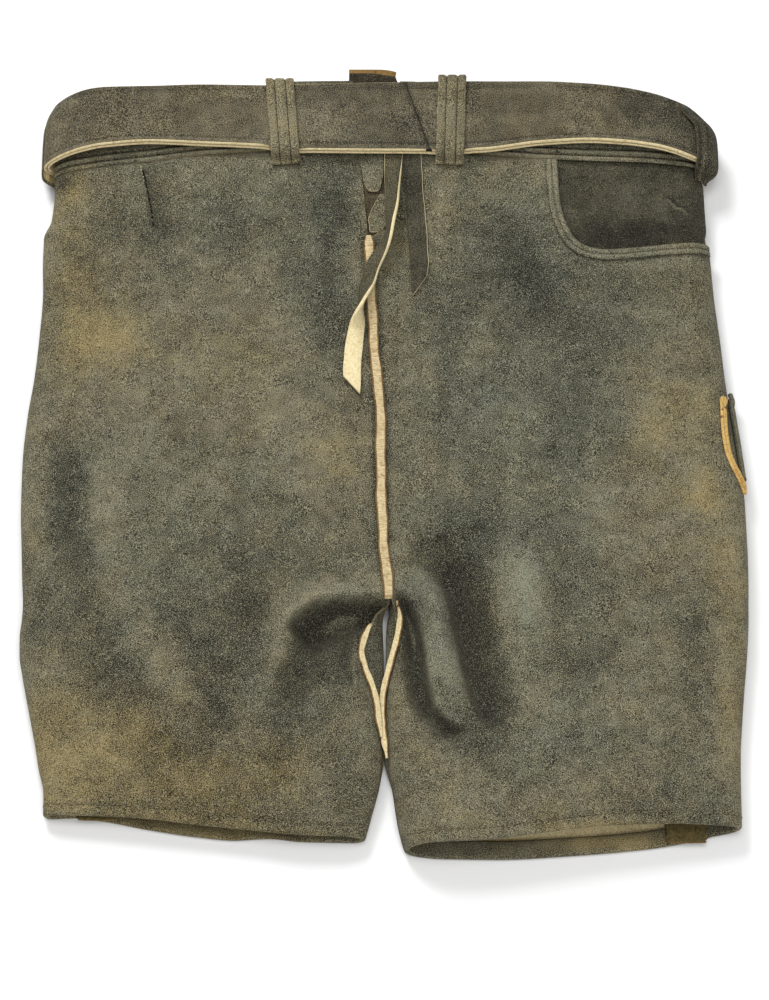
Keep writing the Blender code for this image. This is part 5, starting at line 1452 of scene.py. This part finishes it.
# name, centre x at the foot and at the top, top y.
BACK_LOOPS = (("loop_back_left", -69.5, -75.0, 277.5), ("loop_back_right", 46.0, 48.5, 280.5))
FRONT_LOOPS = (("loop_front_left", -74.0), ("loop_front_right", 74.0))
SIDE_LOOPS = (("loop_side_left", LEFT, -45, 0.4), ("loop_side_right", RIGHT, 24, 1.0))
LOOP_FOOT_Y = 209.5


def strap_loop(name, profile, x_at, upward):
    """A flat loop that follows a profile of (y, z), with turned edges."""
    step = 0.9
    dense = along_curve([(0.0, y, z) for y, z in profile], step)
    y, z = dense[:, 1], dense[:, 2]
    path = np.stack([x_at(y), y, z], axis=1)
    slopes = unit(np.gradient(path, axis=0))
    normals = np.stack([0 * y, -slopes[:, 2], slopes[:, 1]], axis=1) * (1 if upward else -1)
    section, sides = flat_section(
        LOOP_WIDTH / 2, LOOP_THICKNESS + 0.4, edge=0.9, grooves=(-LOOP_GROOVE, LOOP_GROOVE), depth=1.1,
        steps=21, broad=0.9,
    )
    far = np.arange(len(path)) * step
    width = LOOP_WIDTH * (1 + 0.012 * np.sin(far / 5.3) + 0.008 * np.sin(far / 2.1))
    slots = ["loop", "flesh", "loop_edge", "groove"]
    piece = sweep(name, path, normals, section, slots, sides, width)
    if not upward:  # it lies flat on the surface
        for vertex in piece.data.vertices:
            vertex.co.z = max(vertex.co.z, 0.0)
    stand_for(piece, "belt", name.replace("strap_", ""))
    return piece


def make_loops():
    """Loops over the belt: two at the back, two under the front, one at each side."""
    runs = []
    for name, foot_x, top_x, top_y in BACK_LOOPS:
        side = LEFT if foot_x < 0 else RIGHT
        foot = float(outer_z(side, foot_x, LOOP_FOOT_Y)) + 2 * GAP + 0.5
        over = BELT_TOP_Z + GAP
        edge = top_y - LOOP_THICKNESS
        profile = (
            (LOOP_FOOT_Y, foot), (212.6, foot + 0.4), (214.9, foot + 3.0), (215.9, over - 1.2),
            (217.2, over), (232, over), (250, over), (edge - 1.6, over), (edge - 0.5, over - 0.8),
            (edge, over - 3.0), (edge, 32.3),
        )

        def x_at(y, foot_x=foot_x, top_x=top_x, edge=edge):
            return foot_x + (top_x - foot_x) * (y - LOOP_FOOT_Y) / (edge - LOOP_FOOT_Y)

        strap_loop(f"strap_{name}", profile, x_at, True)
        reach, count = 8.6, 12
        for step in (1.6, 3.2):
            x = np.linspace(foot_x - reach, foot_x + reach, count)
            y = np.full(count, LOOP_FOOT_Y + step)
            z = np.full(count, foot + LOOP_THICKNESS + 0.1)
            runs.append((np.stack([x, y, z], axis=1), UP))
    stitches("stitches_loops", runs, "thread", 1.5, 0.4, 1.0)
    low, high = BELT_FRONT_LOW_Y, BELT_FRONT_LOW_Y + BELT_FRONT_WIDTH
    profile = (
        (low - 8, WAIST_FLOOR - 0.6), (low - 4, WAIST_FLOOR - 1.2), (low - 1.2, LOOP_THICKNESS + 0.4),
        (low - 0.2, LOOP_THICKNESS), (low + 25, LOOP_THICKNESS), (high + 0.2, LOOP_THICKNESS),
        (high + 1.2, LOOP_THICKNESS + 0.4), (high + 4, WAIST_FLOOR - 1.2),
        (high + 8, WAIST_FLOOR - 0.6),
    )
    for name, x in FRONT_LOOPS:
        strap_loop(f"strap_{name}", profile, lambda y, x=x: x + 0 * y, False)
    for name, side, degrees, slack in SIDE_LOOPS:
        make_side_loop(name, side, degrees, slack)


def make_side_loop(name, side, degrees, slack):
    """A loop that stands off the belt where the belt turns round the side."""
    # y, how far out from the waistband to the belt, and how far off the belt
    stations = (
        (202, 0.0, 0.3), (205, 0.2, 0.5), (207.5, 0.8, 1.2), (211, 1.0, 2.4), (220, 1.0, 3.2),
        (238, 1.0, 3.6), (252, 1.0, 2.8), (263, 1.0, 1.6), (266.5, 0.8, 0.8), (269.5, 0.05, 0.3),
    )
    rows = []
    for y, share, off in stations:
        row = panel_row(side, y)
        shoulder = row["out_x"] - side * row["roll"]
        middle, half = (row["side_z"] + WAIST_FLOOR) / 2, (row["side_z"] - WAIST_FLOOR) / 2
        points = []
        for spread in (-26, -9, 9, 26):
            angle = math.radians(degrees + spread)
            bx, bz = belt_end(side, angle, 0.0)
            wx = shoulder + side * row["roll"] * math.cos(angle)
            wz = middle + half * math.sin(angle)
            away = 0.5 + off * slack
            x = wx + (bx - wx) * share + side * away * math.cos(angle)
            z = wz + (bz - wz) * share + away * math.sin(angle)
            drop = 8.5 * float(ease(y, 236, 268)) if side == RIGHT else 0.0
            points.append((float(x + lean(side, y)), y - drop, float(z)))
        rows.append(points)
    grid = refine(rows, 70, 61)
    across = np.linspace(-LOOP_WIDTH / 2, LOOP_WIDTH / 2, 61)[None, :]
    groove = sum(hump(across, g, 0.8) for g in (-LOOP_GROOVE, LOOP_GROOVE))
    flip = side == RIGHT
    grid = grid - 0.9 * groove[..., None] * grid_normals(grid, flip)
    slots = ["belt", "flesh", "loop_edge"]
    # the loop darker overall, with painted shade in its grooves, a painted shadow along one long edge
    # (+9.4 mm across) where it stands off the belt, and a painted highlight in a band beside it (+6.6
    # mm)
    shade = -4 - 5 * groove - 16 * hump(across, 9.4, 1.1) + 5 * hump(across, 6.6, 1.1)
    piece = wall(f"strap_{name}", grid, slots, LOOP_THICKNESS, flip, 1.0, lift=shade)
    soften(piece, 0.5, 2)
    stand_for(piece, "belt", name)


# Pockets.


def make_hip_pocket():
    """The dark facing behind the mouth of the hip pocket, and the mouth's bound edge."""
    rows_y = np.linspace(WAIST_SEAM_Y + 4, 136, 54)
    grid = back_grid(RIGHT, rows_y, (90, 24, 0), start=114.0, turn=0.62, crowd=1.0)
    grid = grid - (LEATHER + 3 * GAP) * grid_normals(grid, True)
    x, y = grid[:, :, 0], grid[:, :, 1]
    bulge = 3.4 * ease(x, 200, 226) * ease(y, 154, 168) * (1 - ease(y, 198, 214))
    grid[:, :, 0] += bulge
    far, along = from_line(x, y, ((197, 188), (202, 186), (206, 181), (211, 180), (216, 174)))
    ends = ease(along, 0, 0.2) * (1 - ease(along, 0.8, 1))
    grid[:, :, 2] += ends * (0.5 * hump(far, 1.2, 1.3) - 0.5 * hump(far, -1.2, 1.2))
    # painted highlight along the crease's ridge on the facing, and painted shade along its low side
    pale = ends * (22 * hump(far, 0.8, 0.8) - 5 * hump(far, -1.8, 1.4))
    slots = ["suede_dark", "flesh", "dark_edge"]
    piece = wall("pocket_facing", grid, slots, LEATHER, flip=True, lift=pale)
    stand_for(piece, "suede_dark", "hip_pocket_facing", flat=(130, 80), rests_on=["panel_front_right"])
    line = along_curve([(x, y, 0) for x, y in POCKET_MOUTH[1:]], 1.4)[:, :2]
    forward = unit(np.gradient(line, axis=0))
    away = np.stack([forward[:, 1], -forward[:, 0]], axis=1)
    steps = np.linspace(0, POCKET_EDGE_WIDTH, 31)
    places = line[:, None] + away[:, None] * steps[None, :, None]
    x, y = places[..., 0], places[..., 1]
    shape = 1.0 * hump(steps, 1.8, 1.2) + 0.9 * hump(steps, 5.9, 1.3)
    shape = shape - 0.7 * hump(steps, 3.9, 0.6)
    z = outer_z(RIGHT, x, y) + 2 * GAP + shape
    grid = np.stack([x, y, z], axis=2)
    slots = ["suede", "flesh", "loop_edge"]
    shape = np.broadcast_to(shape, x.shape)
    # the edge darker overall except on its two ridges: painted shade in the middle groove and at its
    # sides, painted highlight on the ridges
    shade = np.minimum(16 * shape - 6, 8)
    piece = wall("pocket_edge", grid, slots, LEATHER * 0.6, offset=1.0, lift=shade)
    soften(piece, 0.35, 2)
    stand_for(piece, "suede", "hip_pocket_edge")
    path = grid[2:-3, 15] + np.array((0, 0, LEATHER * 0.6 + 0.15))
    stitches("stitches_pocket", [(path, UP)], "thread_brown", 2.0, 0.4, 1.2)


KNIFE_WELT = (
    (231.3, 31.5), (231.0, 18), (231.0, 6), (231.8, -4), (233.0, -12), (235.8, -20), (240.0, -28),
    (242.6, -34), (243.4, -38.5),
)


def make_knife_pocket():
    """A slim pocket on the right side, with its yellow welt."""
    rows = []
    for y in np.linspace(37, -27, 7):
        row = panel_row(RIGHT, y)
        shoulder = row["out_x"] - row["roll"]
        half = row["side_z"] / 2
        points = []
        for degrees in (31, 15, -2, -22, -42):
            angle = math.radians(degrees)
            out = row["roll"] + 1.6 + 0.6 * float(ease(y, -28, 18))
            x = shoulder + out * math.cos(angle)
            points.append((float(x), float(y), float(half + (half + 1.2) * math.sin(angle))))
        rows.append(points)
    down, wide = 60, 40
    grid = refine(rows, down, wide)
    along = np.linspace(0, 1, down)[:, None]
    across = np.linspace(0, 1, wide)[None, :]
    # rounded upper corners and a thick turned top
    grid[:, :, 1] -= 2.0 * (1 - ease(along, 0, 0.3)) * np.abs(2 * across - 1) ** 4
    lift = 0.7 * hump(along, 0.07, 0.04) - 0.5 * hump(along, 0.14, 0.015)
    grid = grid + lift[:, :, None] * grid_normals(grid, True)
    piece = wall("knife_pocket_flap", grid, ["suede", "suede", "suede_dark"], LEATHER, True, 1.0)
    soften(piece, 0.45, 2)
    stand_for(piece, "suede", "knife_pocket", flat=(34, 64), rests_on=["panel_back_right"])
    step = 0.7
    dense = along_curve([(x, y, 0) for x, y in KNIFE_WELT], step)
    x, y = dense[:, 0], dense[:, 1]
    path = np.stack([x, y, outer_z(RIGHT, x, y) + 3 * GAP], axis=1)
    far = np.arange(len(path)) * step
    knob = hump(far, 2.6, 2.6)
    neck = hump(far, 6.6, 1.6)
    width = 5.4 * (1 + 0.22 * knob - 0.14 * neck) * (0.55 + 0.45 * ease(far, 0, 2.4))
    width = width * (1 - 0.45 * ease(far, far[-1] - 7, far[-1]))
    height = 1 + 0.5 * knob - 0.25 * neck + 0.06 * np.sin(far * 3.4)
    section, sides = flat_section(2.1, WELT_HEIGHT, edge=0.7, grooves=(0.3,), depth=0.35, steps=7)
    sides = [0 if part == 3 else part for part in sides]
    slots = ["yellow"] * 3
    piece = sweep("knife_pocket_welt", path, (0.55, 0, 0.83), section, slots, sides, width, height)
    stand_for(piece, "welt_yellow", "knife_welt")


def make_underlap():
    """The strip behind the front opening."""
    half, top, bottom = 18, 205, 60
    rows = [
        [(x, y, float(floor_at(y)) + 2 * LEATHER + 3 * GAP) for x in (-half, 0, half)]
        for y in np.linspace(top, bottom, 7)
    ]
    grid = refine(rows, 40, 12)
    piece = wall("underlap", grid, ["suede_dark", "flesh", "cut_edge"], LEATHER, flip=True)
    rests_on = ["panel_front_left", "panel_front_right"]
    flat = (2 * half, top - bottom)
    stand_for(piece, "suede_dark", "fly_underlap", flat=flat, rests_on=rests_on)


DART = ((-172.0, 211), (-170.6, 205), (-168.6, 197), (-166.2, 186), (-164.0, 175), (-162.4, 163))


def make_seam_stitches():
    """Topstitching along the hems, the waistband's edge and the belt's joint."""
    hems, bands = [], []
    for side, _word in SIDES:
        flip = side == RIGHT
        rows_y = HEM_SEWN_Y + np.array([1.0, 0.0, -1.0])
        grid = back_grid(side, rows_y, (110, 22, 14), crowd=CROWD)
        normals = grid_normals(grid, flip)
        hems.append(((grid + 0.1 * normals)[1, 1:], normals[1, 1:]))
        rows_y = BAND_SEWN_Y + np.array([1.0, 0.0, -1.0])
        grid = back_grid(side, rows_y, (90, 22, 0), crowd=CROWD)
        normals = grid_normals(grid, flip)
        bands.append(((grid + (band_lift(BAND_SEWN_Y) + 0.1) * normals)[1, 1:], normals[1, 1:]))
    dart = along_curve([(x, y, 0) for x, y in DART], 1.0)
    x, y = dart[:, 0], dart[:, 1]
    dart = np.stack([x, y, outer_z(LEFT, x, y) + 0.15], axis=1)
    stitches("stitches_dart", [(dart[3:], UP)], "seam_dark", 5.0, 1.5, 0.05)
    pale = dart[:15] - np.array((0.9, 0, 0))
    stitches("stitches_dart_top", [(pale, UP)], "lace_flesh", 1.5, 0.6, 1.2, slant=0.4)
    stitches("stitches_hems", hems, "thread_pale", 2.2, 0.6, 1.4)
    stitches("stitches_band", bands, "thread", 2.0, 0.4, 1.2)
    top = BELT_TOP_Z + 0.05
    runs = []
    for v, start, stop in ((0.90, 2.0, 26.0), (0.095, 2.5, 14.0)):
        count = 20
        x = splice_x(v) + np.linspace(start, stop, count)
        low, high = belt_edges(x)
        path = np.stack([x, low + (high - low) * v, np.full(count, top)], axis=1)
        runs.append((path, UP))
    stitches("stitches_belt", runs, "thread_brown", 2.2, 0.45, 1.1)


def main():
    make_stage()
    make_finishes()
    make_laces()
    make_panels()
    make_waistband()
    make_allowances()
    make_welts()
    make_slit()
    make_belt()
    make_loops()
    make_hip_pocket()
    make_knife_pocket()
    make_underlap()
    make_seam_stitches()
    brass = make_brass()
    for name in ("buckle_frame", "buckle_prong"):
        for slot in bpy.data.objects[name].material_slots:
            slot.material = brass
    bpy.context.view_layer.update()


main()
